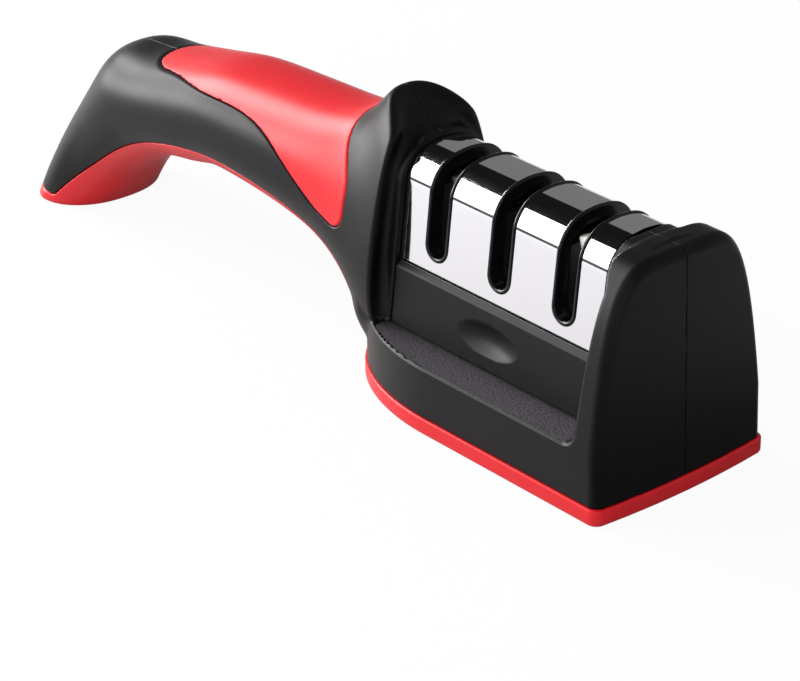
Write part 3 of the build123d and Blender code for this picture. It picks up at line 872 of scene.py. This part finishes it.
class Slot(Enum):
    """The material slots, each with the finish of the real material.

    A finish isn't named as its slot is, because the frame's plain materials have the slots' names.
    """

    # Satin ABS, injection moulded: near black, broad soft highlights, faint spark-eroded skin, its colour a
    # little darker in the skin's valleys as painted shade.
    BLACK_ABS = LeatherGrain(
        "satin_abs", "#090808", 0.39, ior=1.53, specular=0.155, grain_mm=0.30, grain_depth_mm=0.012,
        grain_strength=0.22, mottle=0.10, wear=0.05)
    # The same ABS with a coarse leather grain on the ledge, which breaks its highlights up. Its colour is
    # paler than the black ABS's, painted light on the up-facing ledge, and far darker in the grain's
    # valleys, painted shade.
    GRAINED_ABS = LeatherGrain(
        "leather_grained_abs", "#333034", 0.50, ior=1.53, specular=0.40, grain_mm=0.55, grain_depth_mm=0.09,
        grain_strength=0.9, mottle=0.45, mottle_mm=2.0, wear=0.05)
    # Plain ABS of the hidden mouldings, a little duller.
    INNER_ABS = Finish("plain_abs", "#121212", 0.50, ior=1.53, specular=0.3, grain_mm=0.4)
    # Gloss ABS of the slot liners: deep black with small sharp highlights.
    GLOSS_ABS = Finish(
        "polished_black_abs", "#08080A", 0.20, ior=1.53, specular=0.30, grain_mm=0.8, grain_depth_mm=0.003,
        grain_strength=0.15, wear=0.03)
    # Soft-touch thermoplastic rubber, moulded over: saturated red, matt, very fine skin.
    RED_SOFT_GRIP = Finish(
        "soft_touch_rubber", "#B2181F", 0.37, ior=1.49, specular=0.28, grain_mm=0.26, grain_depth_mm=0.008,
        grain_strength=0.25, mottle=0.04, wear=0.04)
    # Polished stainless sheet: a mirror with faint rolling lines.
    POLISHED_STEEL = GroundLines(
        "polished_stainless", "#E6E4E8", 0.05, metallic=1.0, grain_mm=0.5, grain_depth_mm=0.0006,
        grain_strength=0.10, mottle=0.01, wear=0.015)
    # Diamond-plated steel: grey and gritty.
    DIAMOND_GRIT = PlatedGrit(
        "diamond_plating", "#8C8A88", 0.42, metallic=0.85, grain_mm=0.22, grain_depth_mm=0.05,
        grain_strength=0.8, mottle=0.25, mottle_mm=0.5)
    # Ground tungsten carbide: dark bluish grey with grinding lines.
    TUNGSTEN_CARBIDE = GroundLines(
        "ground_carbide", "#A3A4A8", 0.24, metallic=1.0, grain_mm=0.10, grain_depth_mm=0.004,
        grain_strength=0.3, mottle=0.05)
    # Fired alumina: dense, off-white, with a slight glaze.
    WHITE_CERAMIC = Finish(
        "fired_alumina", "#EDEBE4", 0.30, ior=1.76, grain_mm=0.12, grain_depth_mm=0.006,
        grain_strength=0.3, mottle=0.03, mottle_mm=3.0)
    # Bright zinc plating on steel screws.
    ZINC_SCREW = Finish("bright_zinc", "#C8C9CC", 0.28, metallic=1.0, grain_mm=0.3, grain_depth_mm=0.004)

    @property
    def slot(self) -> str:
        """The slot's name, in lower case."""
        return self.name.lower()

    def material(self) -> bpy.types.Material:
        """The slot's material, made on first use."""
        return bpy.data.materials.get(self.value.name) or self.value.make()


# ---------------------------------------------------------------- writing pieces
@dataclass
class Workshop:
    datum: float
    nodes: dict[str, bpy.types.Object]

    def write(
        self, node: str, shape: Shape, slot: Slot, body: str, sharp_degrees: float | None = None,
    ) -> bpy.types.Object:
        """Make the piece that stands for a CAD node, named after it.

        Args:
            node: The CAD node's name.
            shape: Vertices in the nose's datum, in millimetres, and faces.
            slot: The material slot that the piece takes its finish from.
            body: The body that it rides on.
            sharp_degrees: Where the shape has no normals, edges over this angle stay sharp.

        Returns:
            The new object.
        """
        name = f"{node}_skin"
        mesh = bpy.data.meshes.new(name)
        points = (shape.points + np.array([self.datum, 0.0, 0.0])) * MM
        faces = shape.faces.tolist() if isinstance(shape.faces, np.ndarray) else shape.faces
        mesh.from_pydata(points.tolist(), [], faces)
        mesh.polygons.foreach_set("use_smooth", np.ones(len(mesh.polygons), bool))
        mesh.update()
        if shape.normals is not None:
            mesh.normals_split_custom_set_from_vertices(shape.normals.tolist())
        elif sharp_degrees is not None:
            mesh.set_sharp_from_angle(angle=np.radians(sharp_degrees))
        mesh.materials.append(slot.material())
        piece = bpy.data.objects.new(name, mesh)
        bpy.context.scene.collection.objects.link(piece)
        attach(piece, body)
        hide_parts(node)
        log.info("%s: %d vertices, %d faces", name, len(mesh.vertices), len(mesh.polygons))
        return piece

    def dress(self, slot: Slot, *names: str) -> None:
        """Give CAD nodes that stay as they are the material of their slot."""
        for name in names:
            data = self.nodes[name].data
            data.materials.clear()
            data.materials.append(slot.material())
            log.info("%s: kept from the frame", name)


def mirrored(shape: Shape) -> Shape:
    """The same shape on the other side of the seam, with its faces turned to point outwards."""
    flip = np.array([1.0, -1.0, 1.0])
    faces = np.asarray(shape.faces)[:, ::-1]
    return Shape(shape.points * flip, faces, None if shape.normals is None else shape.normals * flip)


# ---------------------------------------------------------------- base body
@dataclass
class BaseBody:
    """The two shells, the grips let into them, the sole and the tray."""

    form: BodyForm
    shop: Workshop
    low: float
    step: float = 0.48
    fine_step: float = 0.16
    top: float = 63.0
    seam_gap: float = 0.02
    seam_radius: float = 0.12
    skin: float = 1.6
    recess_floor: float = 0.1
    grip_gap: float = 0.06
    grip_radius: float = 0.55
    shell_edge: float = 0.28
    tray_step: float = 0.5
    tray_gap: float = 0.02
    tray_radius: float = 0.03
    tray_top: float = 14.62
    tray_lip: float = 0.3
    tray_thickness: float = 1.6
    tray_inset: float = 0.85
    tray_overlap: float = 0.3
    tray_rear: float = 1.15
    tray_front: float = 10.2
    well_wall: float = 1.6
    well_gap: float = 0.05
    well_radius: float = 0.25
    well_floor: float = 1.2
    well_half: float = 11.95
    well_foot: float = 5.6
    tail_length: float = 90.0
    sole_gap: float = 0.05
    sole_overhang: float = 0.45
    sole_edge: float = 0.8
    sole_corner: float = 2.1
    sole_inset: float = 3.2
    sole_hollow: float = 1.5

    def recess(self, body: Array, zone: Array) -> Array:
        """Distance to the shallow room that a grip fills, a gap wider than the grip."""
        return np.maximum(zone - self.grip_gap, -(body + self.skin + self.recess_floor))

    def well(self, x: Array, y: Array, z: Array, grow: float) -> Array:
        """Distance to the box of the head's well, grown by a wall."""
        head = self.form.head
        side = np.maximum(head.ends(x) - HEAD_GAP, np.abs(y) - self.well_half) - grow
        return np.maximum(side, self.well_foot - grow * self.well_floor / self.well_wall - z)

    def flange(self, x: Array, y: Array, z: Array, gap: float) -> Array:
        """Distance to the tray's ledge plate, grown sideways by a gap."""
        plan = self.form.base.plan(x, y) + self.tray_inset - gap
        rear = -(x + self.form.handle.fin - self.tray_rear) - gap
        edge = np.maximum(np.maximum(plan, x + self.tray_front - gap), rear)
        return np.maximum(edge, self.form.base.ledge - self.tray_thickness - gap - z)

    def shell(self, x: Array, y: Array, z: Array) -> Array:
        """Distance to the shell on the -Y side, with the room for grips, tray and well cut."""
        body, saddle, under = self.form.distance(x, y, z)
        ledge = self.form.base.ledge
        form = round_cut(body, -self.recess(body, saddle), self.shell_edge)
        form = round_cut(form, -self.recess(body, under), self.shell_edge)
        tray = np.maximum(self.flange(x, y, z, self.tray_gap), z - ledge - 0.1)
        form = round_cut(form, -tray, self.tray_lip)
        well = np.maximum(self.well(x, y, z, self.well_wall + self.well_gap), z - ledge - 1.0)
        form = np.maximum(form, -well)
        return round_cut(form, y + self.seam_gap, self.seam_radius)

    def shells(self) -> None:
        """Both shells: the -Y one from its field, the other as its mirror image."""
        base = self.form.base
        across = seam_planes(base.half, self.step, self.fine_step)
        space = (planes(self.low, base.bow + 0.1, self.step), across, planes(0.0, self.top, self.step))
        shape = Moulding(self.shell, space).shape()
        self.shop.write("body_shell_left", shape, Slot.BLACK_ABS, "base")
        self.shop.write("body_shell_right", mirrored(shape), Slot.BLACK_ABS, "base")

    def grip(self, body: Array, zone: Array) -> Array:
        """Distance to a grip: the body's skin inside its zone, with a soft edge."""
        return np.maximum(round_cut(body, zone, self.grip_radius), -(body + self.skin))

    def saddle(self, x: Array, y: Array, z: Array) -> Array:
        """Distance to the soft saddle on top of the handle."""
        body, zone, _ = self.form.distance(x, y, z)
        return self.grip(body, zone)

    def under(self, x: Array, y: Array, z: Array) -> Array:
        """Distance to the soft skin under the handle, which ends on the sole or at the tail's foot."""
        body, _, zone = self.form.distance(x, y, z)
        foot = np.where(x > self.low + self.tail_length, self.form.base.foot + self.sole_gap, 0.0)
        return self.grip(body, np.maximum(zone, foot - z))

    def grips(self) -> None:
        """Both grips, each from planes that cover its own stretch: X, Y and Z from low to high."""
        fin = self.form.handle.fin
        for name, distance, space in (
            ("saddle_grip", self.saddle, ((-fin - 92.0, -fin - 9.0), (-16.0, 16.0), (28.0, 57.0))),
            ("under_grip", self.under, ((self.low, -fin - 5.0), (-18.0, 18.0), (0.0, 34.0))),
        ):
            shape = Moulding(distance, tuple(planes(*stretch, self.step) for stretch in space)).shape()
            self.shop.write(name, shape, Slot.RED_SOFT_GRIP, "base")

    def outline(self, inset: float, count: int = 72) -> Array:
        """Closed outline of the base from above: bowed front, round corners, sides, half ellipse.

        Args:
            inset: How far the outline is moved inwards; negative moves it out.
            count: Number of points on the ellipse; the rest follow from it.

        Returns:
            Points (X, Y), counter-clockwise seen from above.
        """
        base = self.form.base
        half = base.half - inset
        corner = max(self.sole_corner - inset * 0.4, 0.6)
        bow_radius = (base.half**2 + base.bow**2) / (2.0 * base.bow) - inset
        middle = base.bow - inset - bow_radius
        centre_y = half - corner
        centre_x = middle + np.sqrt((bow_radius - corner) ** 2 - centre_y**2)
        start = np.arctan2(centre_y, centre_x - middle)
        bow = np.linspace(-start, start, 24)
        front = np.stack([middle + bow_radius * np.cos(bow), bow_radius * np.sin(bow)], -1)
        turn = np.linspace(start, np.pi / 2, 10)[1:]
        right = np.stack([centre_x + corner * np.cos(turn), centre_y + corner * np.sin(turn)], -1)
        sweep = np.linspace(np.pi / 2, 3 * np.pi / 2, count)
        rear = np.stack([
            base.taper_start + (base.taper_length - inset) * np.cos(sweep), half * np.sin(sweep),
        ], -1)
        left = right[::-1] * np.array([1.0, -1.0])
        return np.concatenate([front, right, rear, left])

    def sole(self) -> None:
        """The soft sole: a rounded profile carried round the base's outline."""
        foot, edge = self.form.base.foot, self.sole_edge
        turn = np.linspace(-np.pi / 2, 0.0, 7)
        low = np.stack([edge * (1.0 - np.cos(turn)), edge * (1.0 + np.sin(turn))], -1)
        turn = np.linspace(0.0, np.pi / 2, 6)
        top_edge = 0.5 * edge
        high = np.stack([top_edge * (1.0 - np.cos(turn)), foot - top_edge * (1.0 - np.sin(turn))], -1)
        rings = []
        for inset, z in (*low, *high, (self.sole_inset, foot), (self.sole_inset + 0.05, self.sole_hollow)):
            outline = self.outline(inset - self.sole_overhang)
            rings.append(np.column_stack([outline, np.full(len(outline), z)]))
        shape = capped(np.concatenate(rings), len(rings), turned=True)
        self.shop.write("non_slip_sole", shape, Slot.RED_SOFT_GRIP, "base", 50.0)

    def tray_form(self, x: Array, y: Array, z: Array) -> Array:
        """Distance to the tray: the ledge plate and the well's walls, less the well."""
        above = z - self.tray_top
        plate = round_cut(self.flange(x, y, z, self.tray_overlap), above, self.tray_radius)
        walls = np.maximum(self.well(x, y, z, self.well_wall), above)
        return round_cut(np.minimum(plate, walls), -self.well(x, y, z, 0.0), self.well_radius)

    def tray(self) -> None:
        """The grained ledge with the well that takes the head."""
        stretches = ((-self.form.handle.fin, -self.tray_front), (-22.9, 22.9), (4.0, self.form.base.ledge))
        space = tuple(planes(*stretch, self.tray_step) for stretch in stretches)
        self.shop.write("pocket_tray", Moulding(self.tray_form, space).shape(), Slot.GRAINED_ABS, "base")

    def build(self) -> None:
        """Make every piece that rides on the base."""
        self.shells()
        self.grips()
        self.sole()
        self.tray()
        self.shop.dress(Slot.INNER_ABS, "base_plate")
        self.shop.dress(Slot.ZINC_SCREW, "base_screws", "handle_screws")


# ---------------------------------------------------------------- sharpening head
@dataclass
class SharpeningHead:
    """The lift-out head: cover, housing, liners and the crossed elements."""

    head: HeadForm
    shop: Workshop
    step: float = 0.42
    fine_step: float = 0.16
    half_width: float = 15.5
    sheet: float = 0.7
    sheet_steps: int = 7
    cover_foot: float = 28.45
    block_foot: float = 15.35
    block_top: float = 29.35
    block_stand: float = 1.6
    block_radius: float = 0.25
    bevel: float = 1.25
    bevel_slope: float = 0.7
    groove: float = 0.25
    groove_depth: float = 1.0
    groove_radius: float = 0.2
    end_radius: float = 0.4
    seam_gap: float = 0.02
    seam_radius: float = 0.15
    core_gap: float = 0.1
    wall: float = 1.9
    plug_half: float = 11.6
    housing_foot: float = 8.35
    room_half: float = 9.1
    shelf_height: float = 21.35
    shelf_half: float = 1.0
    shelf_inner: float = 4.6
    dimple: tuple[float, float, float] = (9.0, 3.6, 1.25)
    dimple_height: float = 21.8
    dimple_power: float = 1.3
    liner_stand: float = 0.35
    liner_depth: float = 2.7
    liner_gap: float = 0.05
    run_steps: int = 90
    rod_radius: float = 1.5
    rod_offset: float = 3.2
    rod_edge: float = 0.3
    rod_cap: float = 1.4
    rod_steps: int = 40
    element_length: float = 22.0
    element_share_above: float = 0.36
    element_angle: float = np.radians(18.0)
    element_cross: float = 40.35

    def cover(self) -> None:
        """Folded sheet: the cross-section's outline carried along X, open at the slots.

        Between the slots the whole outline is carried. Under a slot only the sides are, up to
        the slot's round end, whose height is the bend less the half chord of a circle.
        """
        head = self.head
        foot, bend = head.down_to(self.cover_foot), head.down_to(head.slot_bend)
        shoulder = head.down_to(head.top - head.shoulder)
        low = np.linspace(foot, bend, 9)
        up = np.linspace(bend, shoulder, 8)[1:]
        over = np.linspace(shoulder, 0.0, 34)[1:]
        half_line = np.concatenate([low, up, over])
        line = np.concatenate([-half_line, half_line[::-1][1:]])
        yz, _ = head.wrap(line)
        slot_edges = [place + side for place in head.slots for side in (-head.slot_half, head.slot_half)]
        edges = [-head.rear, *slot_edges, -head.front]
        shapes = []
        for left, right in zip(edges[0::2], edges[1::2]):
            xs = np.linspace(left, right, self.sheet_steps)
            points = np.column_stack([np.repeat(xs, len(line)), np.tile(yz, (len(xs), 1))])
            shapes.append(Shape(points, grid_faces(len(xs), len(line))))
        for place in head.slots:
            chord = head.slot_half * np.cos(np.linspace(np.pi, 0.0, 21))
            drop = np.sqrt(np.maximum(head.slot_half**2 - chord**2, 0.0)) / np.cos(head.draft)
            share = (low - foot) / (bend - foot)
            for sign in (-1.0, 1.0):
                along = foot + share[None, :] * (bend + drop - foot)[:, None]
                yz, _ = head.wrap(sign * along.ravel())
                points = np.column_stack([np.repeat(place + chord, len(low)), yz])
                faces = grid_faces(len(chord), len(low))
                shapes.append(Shape(points, faces if sign < 0 else faces[:, ::-1]))
        piece = self.shop.write("head_cover", join_shapes(shapes), Slot.POLISHED_STEEL, "head")
        piece.data.flip_normals()
        merge_points(piece.data)
        solid = piece.modifiers.new("sheet", "SOLIDIFY")
        solid.thickness, solid.offset = self.sheet * MM, -1.0
        sharp = piece.modifiers.new("sharp", "EDGE_SPLIT")
        sharp.split_angle = np.radians(40.0)

    def bowl(self, x: Array, z: Array) -> Array:
        """Depth of the finger dimple: an oval bowl with a soft rim."""
        long, high, deep = self.dimple
        share = ((x - self.head.middle) / long) ** 2 + ((z - self.dimple_height) / high) ** 2
        return deep * np.maximum(1.0 - share, 0.0) ** self.dimple_power

    def housing(self, x: Array, y: Array, z: Array) -> Array:
        """Distance to the housing's half on the -Y side."""
        head, above = self.head, z - self.block_top
        section, ends = head.distance(y, z), head.ends(x)
        inner = section + self.sheet + self.core_gap
        side = head.side(y, z) - self.block_stand + self.bowl(x, z)
        block = round_cut(side, (above + side + self.bevel) * self.bevel_slope, self.block_radius)
        block = np.maximum(round_cut(block, above, self.block_radius), self.block_foot - z)
        groove = np.maximum(section - self.groove, -above - self.groove_depth)
        block = round_cut(block, -groove, self.groove_radius)
        core = np.maximum(inner, self.block_foot - z)
        plug = np.maximum(np.abs(y) - self.plug_half, z - self.block_foot - 1.0)
        form = round_cut(np.minimum(np.minimum(block, core), plug), ends, self.end_radius)
        for place in head.slots:
            form = np.maximum(form, -head.slot(x, z, place))
        room = np.maximum(np.maximum(inner, ends) + self.wall, np.abs(y) - self.room_half)
        shelf = np.maximum(np.abs(z - self.shelf_height) - self.shelf_half, self.shelf_inner - np.abs(y))
        form = np.maximum(form, -np.maximum(room, -shelf))
        form = np.maximum(form, self.housing_foot - z)
        return round_cut(form, y + self.seam_gap, self.seam_radius)

    def housings(self) -> None:
        """Both halves of the housing: the -Y one from its field, the other as its mirror image."""
        head, across = self.head, seam_planes(self.half_width, self.step, self.fine_step)
        space = (planes(-head.rear, -head.front, self.step), across,
                 planes(self.housing_foot, head.top, self.step))
        shape = Moulding(self.housing, space).shape()
        self.shop.write("head_housing_left", shape, Slot.BLACK_ABS, "head")
        self.shop.write("head_housing_right", mirrored(shape), Slot.BLACK_ABS, "head")

    def liner(self, place: float) -> Shape:
        """Lip and wall round one slot: a rounded profile carried along a loop on the head.

        The loop is a stadium in the unrolled outline, two straight runs over the head that
        are joined by half circles at the slots' round ends. The profile lies across the loop
        and along the head's outward direction.
        """
        head, steps = self.head, self.run_steps
        width = head.slot_lip - self.liner_gap
        round_lip = width / 2
        radius = head.slot_half - self.liner_gap - round_lip
        reach = head.down_to(head.slot_bend)
        runs = np.linspace(-reach, reach, steps)
        turn = np.linspace(0.0, np.pi, 26)[1:-1]
        bend = np.stack([np.cos(turn), np.sin(turn)], -1)
        straight = np.tile([1.0, 0.0], (steps, 1))
        out = np.concatenate([straight, bend, -straight, -bend])
        across = radius * out[:, 0]
        along = radius * out[:, 1] + np.concatenate([
            runs, np.full(len(turn), reach), runs[::-1], np.full(len(turn), -reach),
        ])
        yz, normal = head.wrap(along)
        tangent = np.stack([normal[:, 1], -normal[:, 0]], -1)
        arc = np.linspace(0.0, np.pi, 9)
        profile_w = np.concatenate([round_lip * np.cos(arc), [-round_lip, round_lip]])
        lip = self.liner_stand - round_lip + round_lip * np.sin(arc)
        profile_n = np.concatenate([lip, [-self.liner_depth, -self.liner_depth]])
        x = place + across[:, None] + out[:, :1] * profile_w
        side = out[:, 1:] * profile_w
        y, z = (
            yz[:, k:k + 1] + tangent[:, k:k + 1] * side + normal[:, k:k + 1] * profile_n
            for k in (0, 1)
        )
        points = np.stack([x, y, z], -1).reshape(-1, 3)
        return Shape(points, grid_faces(len(across), len(profile_w), True, True))

    def rod(self, place: float, side: int) -> Shape:
        """Leaning round rod with softened ends: circles stacked along its axis."""
        low = -(0.5 - self.element_share_above) * self.element_length - self.element_length / 2
        high = low + self.element_length
        edge, near = self.rod_edge, 0.3 * self.rod_edge
        heights = np.array([low, low, low + near, low + edge, high - edge, high - near, high, high])
        radii = self.rod_radius - np.array([self.rod_cap, edge, near, 0.0, 0.0, near, edge, self.rod_cap])
        turn = np.linspace(0.0, 2 * np.pi, self.rod_steps, endpoint=False)
        x, y = radii[:, None] * np.cos(turn), radii[:, None] * np.sin(turn)
        z = np.repeat(heights[:, None], len(turn), 1)
        lean = side * self.element_angle
        points = np.stack([
            place + x * np.cos(lean) + z * np.sin(lean),
            y + side * self.rod_offset,
            self.element_cross - x * np.sin(lean) + z * np.cos(lean),
        ], -1).reshape(-1, 3)
        return capped(points, len(heights))

    def build(self) -> None:
        """Make every piece that rides on the head."""
        self.cover()
        self.housings()
        for word, place in zip(("rear", "middle", "front"), self.head.slots):
            self.shop.write(f"slot_liner_{word}", self.liner(place), Slot.GLOSS_ABS, "head", 60.0)
        for name, place, slot in (
            ("diamond_rod", self.head.slots[0], Slot.DIAMOND_GRIT),
            ("ceramic_rod", self.head.slots[2], Slot.WHITE_CERAMIC),
        ):
            for side, word in ((-1, "left"), (1, "right")):
                self.shop.write(f"{name}_{word}", self.rod(place, side), slot, "head", 40.0)
        self.shop.dress(Slot.TUNGSTEN_CARBIDE, "carbide_blade_left", "carbide_blade_right")
        self.shop.dress(
            Slot.INNER_ABS, "head_bottom_plate",
            "diamond_rod_holder", "carbide_blade_holder", "ceramic_rod_holder")
        self.shop.dress(Slot.ZINC_SCREW, "head_screws", "blade_screws")


def merge_points(mesh: bpy.types.Mesh, distance: float = 0.005 * MM) -> None:
    """Join vertices that lie in one place."""
    work = bmesh.new()
    work.from_mesh(mesh)
    bmesh.ops.remove_doubles(work, verts=work.verts, dist=distance)
    work.to_mesh(mesh)
    work.free()


# ---------------------------------------------------------------- studio
@dataclass
class Studio:
    """White floor, soft lamps, a room that only mirrors see, and the camera.

    Each lamp has its name, place and size in millimetres, power in watts, and whether mirrors
    show it. Each glow of the floor, which mirrors see too, has the direction in which it begins,
    the metres over which it rises, and how much it adds to the dim table there. Each stretch of
    the mirrors' room has what it is measured along, where it starts and ends, its two values,
    and how it joins the stretches before it: first a white card on the camera's side whose top
    edge, in degrees from straight up, meets a dark flag overhead, then the card's near end, and
    grey on the far side, behind and in front.
    """

    datum: float
    azimuth: float = np.radians(48.83)
    elevation: float = np.radians(27.44)
    place: tuple[float, float, float] = (377.4, -403.81, 318.78)
    focal_px: float = 3200.0
    width_px: int = 800
    sensor: float = 36.0
    clip: tuple[float, float] = (0.02, 20.0)
    ambient: float = 0.40
    room: tuple[tuple[str, float, float, float, float, str], ...] = (
        ("angle", *np.radians((-29.5, -27.0)), 5.0, 0.01, "ADD"),
        ("x", -0.52, -0.36, 1.0, 0.1, "MULTIPLY"),
        ("angle", *np.radians((36.5, 38.3)), 0.0, 0.20, "ADD"),
        ("x", -0.90, -0.80, 0.8, 0.0, "ADD"),
        ("x", -0.30, 0.10, 0.0, 0.20, "ADD"),
    )
    floor_half: float = 3.0
    floor_oval: tuple[float, float, float] = (0.55, 1.0, 1.0)
    floor_fade: tuple[float, float] = (0.06, 0.24)
    table_glow: float = 0.12
    floor_glows: tuple[tuple[tuple[float, float, float], float, float, float], ...] = (
        ((0.0, -1.0, 0.0), 0.235, 0.27, 0.0),
        ((1.0, 0.0, 0.0), 0.095, 0.105, 0.0),
        ((1.0, 0.6, 0.0), 0.13, 0.20, 0.55),
        ((0.0, -1.0, 0.0), 0.85, 1.3, 1.0),
    )
    shadow_share: float = 0.06
    aim: tuple[float, float, float] = (0.0, 0.0, 30.0)
    lamps: tuple[tuple[str, tuple[float, float, float], float, float, bool], ...] = (
        ("key", (-600.0, -420.0, 560.0), 450.0, 5.5, False),
        ("rim", (-800.0, -140.0, 580.0), 400.0, 9.5, True),
        ("rear", (-800.0, -450.0, 120.0), 480.0, 7.5, True),
        ("fill", (420.0, -620.0, 420.0), 500.0, 6.0, False),
    )

    def camera(self) -> None:
        """Place the camera by its direction and distance, with no shift."""
        a, e = self.azimuth, self.elevation
        back = Vector((np.sin(a) * np.cos(e), -np.cos(a) * np.cos(e), np.sin(e)))
        right = Vector((np.cos(a), np.sin(a), 0.0))
        up = back.cross(right)
        data = bpy.data.cameras.new("camera")
        data.sensor_width = self.sensor
        data.lens = self.focal_px / self.width_px * self.sensor
        data.clip_start, data.clip_end = self.clip
        camera = bpy.data.objects.new("camera", data)
        turn = Matrix((right, up, back)).transposed().to_4x4()
        place = Vector(self.place) + Vector((self.datum, 0.0, 0.0))
        camera.matrix_world = Matrix.Translation(place * MM) @ turn
        bpy.context.scene.collection.objects.link(camera)
        bpy.context.scene.camera = camera

    def light(self) -> None:
        """Soft square lamps, aimed at the middle of the object."""
        for name, place, size, power, mirrored_too in self.lamps:
            data = bpy.data.lights.new(name, "AREA")
            data.size, data.energy = size * MM, power
            lamp = bpy.data.objects.new(name, data)
            lamp.location = Vector(place) * MM
            lamp.visible_glossy = mirrored_too
            lamp.rotation_euler = (Vector(place) - Vector(self.aim)).to_track_quat("Z", "Y").to_euler()
            bpy.context.scene.collection.objects.link(lamp)

    def floor(self) -> None:
        """White paper that takes the shadow.

        Away from the object it turns to plain white for the camera, but for a small share that
        keeps the shadow, and where the glows begin it turns to them in mirrors.
        """
        mesh = bpy.data.meshes.new("floor")
        half = self.floor_half
        corners = [(x * half, y * half, 0.0) for x, y in ((-1, -1), (1, -1), (1, 1), (-1, 1))]
        mesh.from_pydata(corners, [], [(0, 1, 2, 3)])
        floor = bpy.data.objects.new("floor", mesh)
        bpy.context.scene.collection.objects.link(floor)
        material = bpy.data.materials.new("paper")
        material.use_nodes = True
        tree = material.node_tree
        shader, output = tree.nodes["Principled BSDF"], tree.nodes["Material Output"]
        shader.inputs["Base Color"].default_value = linear("#C4C4C4")
        shader.inputs["Roughness"].default_value = 0.9
        shader.inputs["Specular IOR Level"].default_value = 0.0
        path = add_node(tree, "LightPath")
        place = add_node(tree, "TexCoord").outputs["Object"]
        oval = add_node(tree, "VectorMath", {0: place, 1: self.floor_oval}, operation="MULTIPLY")
        away = add_node(tree, "VectorMath", {0: oval.outputs[0]}, operation="LENGTH")
        low, high = self.floor_fade
        clear = add_node(tree, "MapRange", {
            "Value": away.outputs["Value"], "From Min": low, "From Max": high,
        }, interpolation_type="SMOOTHSTEP")
        table: Socket | float = 0.0
        glow: Socket | float = self.table_glow
        for direction, low, high, gain in self.floor_glows:
            along = add_node(tree, "VectorMath", {0: place, 1: direction}, operation="DOT_PRODUCT")
            share = add_node(tree, "MapRange", {
                "Value": along.outputs["Value"], "From Min": low, "From Max": high,
            }, interpolation_type="SMOOTHSTEP").outputs["Result"]
            table = add_node(tree, "Math", {0: table, 1: share}, operation="MAXIMUM").outputs[0]
            glow = add_node(tree, "Math", {0: share, 1: gain, 2: glow}, operation="MULTIPLY_ADD").outputs[0]
        clear = add_node(tree, "Math", {
            0: clear.outputs["Result"], 1: 1.0 - self.shadow_share,
        }, operation="MAXIMUM").outputs[0]
        surface = shader.outputs[0]
        for share, ray, strength in ((clear, "Is Camera Ray", 1.0), (table, "Is Glossy Ray", glow)):
            seen = add_node(tree, "Math", {0: share, 1: path.outputs[ray]}, operation="MULTIPLY")
            light = add_node(tree, "Emission", {"Color": linear("#FFFFFF"), "Strength": strength})
            mix = add_node(tree, "MixShader", {0: seen.outputs[0], 1: surface, 2: light.outputs[0]})
            surface = mix.outputs[0]
        tree.links.new(surface, output.inputs["Surface"])
        mesh.materials.append(material)

    def world(self) -> None:
        """Even light, white for the camera and through glass, and the room for mirrors.

        The strength is the even light, plus for mirrors what the room has more or less than it,
        plus for the camera what it lacks to white.
        """
        world = bpy.data.worlds.new("studio")
        bpy.context.scene.world = world
        world.use_nodes = True
        world.cycles.sampling_method = "NONE"
        tree = world.node_tree
        tree.nodes.clear()
        path = add_node(tree, "LightPath")
        toward = add_node(tree, "TexCoord").outputs["Generated"]
        part = add_node(tree, "SeparateXYZ", {"Vector": toward})
        angle = add_node(tree, "Math", {0: part.outputs["Y"], 1: part.outputs["Z"]}, operation="ARCTAN2")
        measures = {"x": part.outputs["X"], "angle": angle.outputs[0]}
        mirror: Socket | float = 0.0
        for measure, low, high, start, end, joint in self.room:
            stretch = add_node(tree, "MapRange", {
                "Value": measures[measure], "From Min": low, "From Max": high,
                "To Min": start, "To Max": end,
            }, interpolation_type="SMOOTHSTEP").outputs["Result"]
            mirror = add_node(tree, "Math", {0: mirror, 1: stretch}, operation=joint).outputs[0]
        change = add_node(tree, "Math", {0: mirror, 1: self.ambient}, operation="SUBTRACT")
        clear = add_node(tree, "Math", {
            0: path.outputs["Is Camera Ray"], 1: path.outputs["Is Transmission Ray"],
        }, operation="MAXIMUM")
        strength: Socket | float = self.ambient
        for share, gain in (
            (path.outputs["Is Glossy Ray"], change.outputs[0]), (clear.outputs[0], 1.0 - self.ambient),
        ):
            strength = add_node(tree, "Math", {
                0: share, 1: gain, 2: strength,
            }, operation="MULTIPLY_ADD").outputs[0]
        light = add_node(tree, "Background", {"Color": linear("#FFFFFF"), "Strength": strength})
        add_node(tree, "OutputWorld", {"Surface": light.outputs[0]})

    def build(self) -> None:
        """Make the whole studio."""
        self.camera()
        self.light()
        self.floor()
        self.world()
        bpy.context.scene.view_settings.view_transform = "Standard"


# ---------------------------------------------------------------- assembly
def main() -> None:
    """Load the frame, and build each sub-assembly in order."""
    logging.basicConfig(level=logging.INFO, format="%(name)s %(message)s")
    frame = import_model()
    low = {name: np.array(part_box(name)[0]) / MM for name in frame["nodes"]}
    high = {name: np.array(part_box(name)[1]) / MM for name in frame["nodes"]}
    half = -low["body_shell_left"][1]
    overhang = high["non_slip_sole"][1] - half
    base = BaseForm(half=half, foot=high["non_slip_sole"][2])
    datum = high["non_slip_sole"][0] - base.bow - overhang
    cover_low, cover_high = low["head_cover"], high["head_cover"]
    head = HeadForm(front=datum - cover_high[0], rear=datum - cover_low[0], top=cover_high[2] + COVER_RISE)
    body = BodyForm(head, base, HandleForm(fin=head.rear + HEAD_GAP + FIN_COLLAR))
    shop = Workshop(datum, frame["nodes"])
    Studio(datum).build()
    BaseBody(body, shop, low["under_grip"][0] - datum - TAIL_MARGIN, sole_overhang=overhang).build()
    SharpeningHead(head, shop).build()
    bpy.context.view_layer.update()


if __name__ == "__main__":
    main()
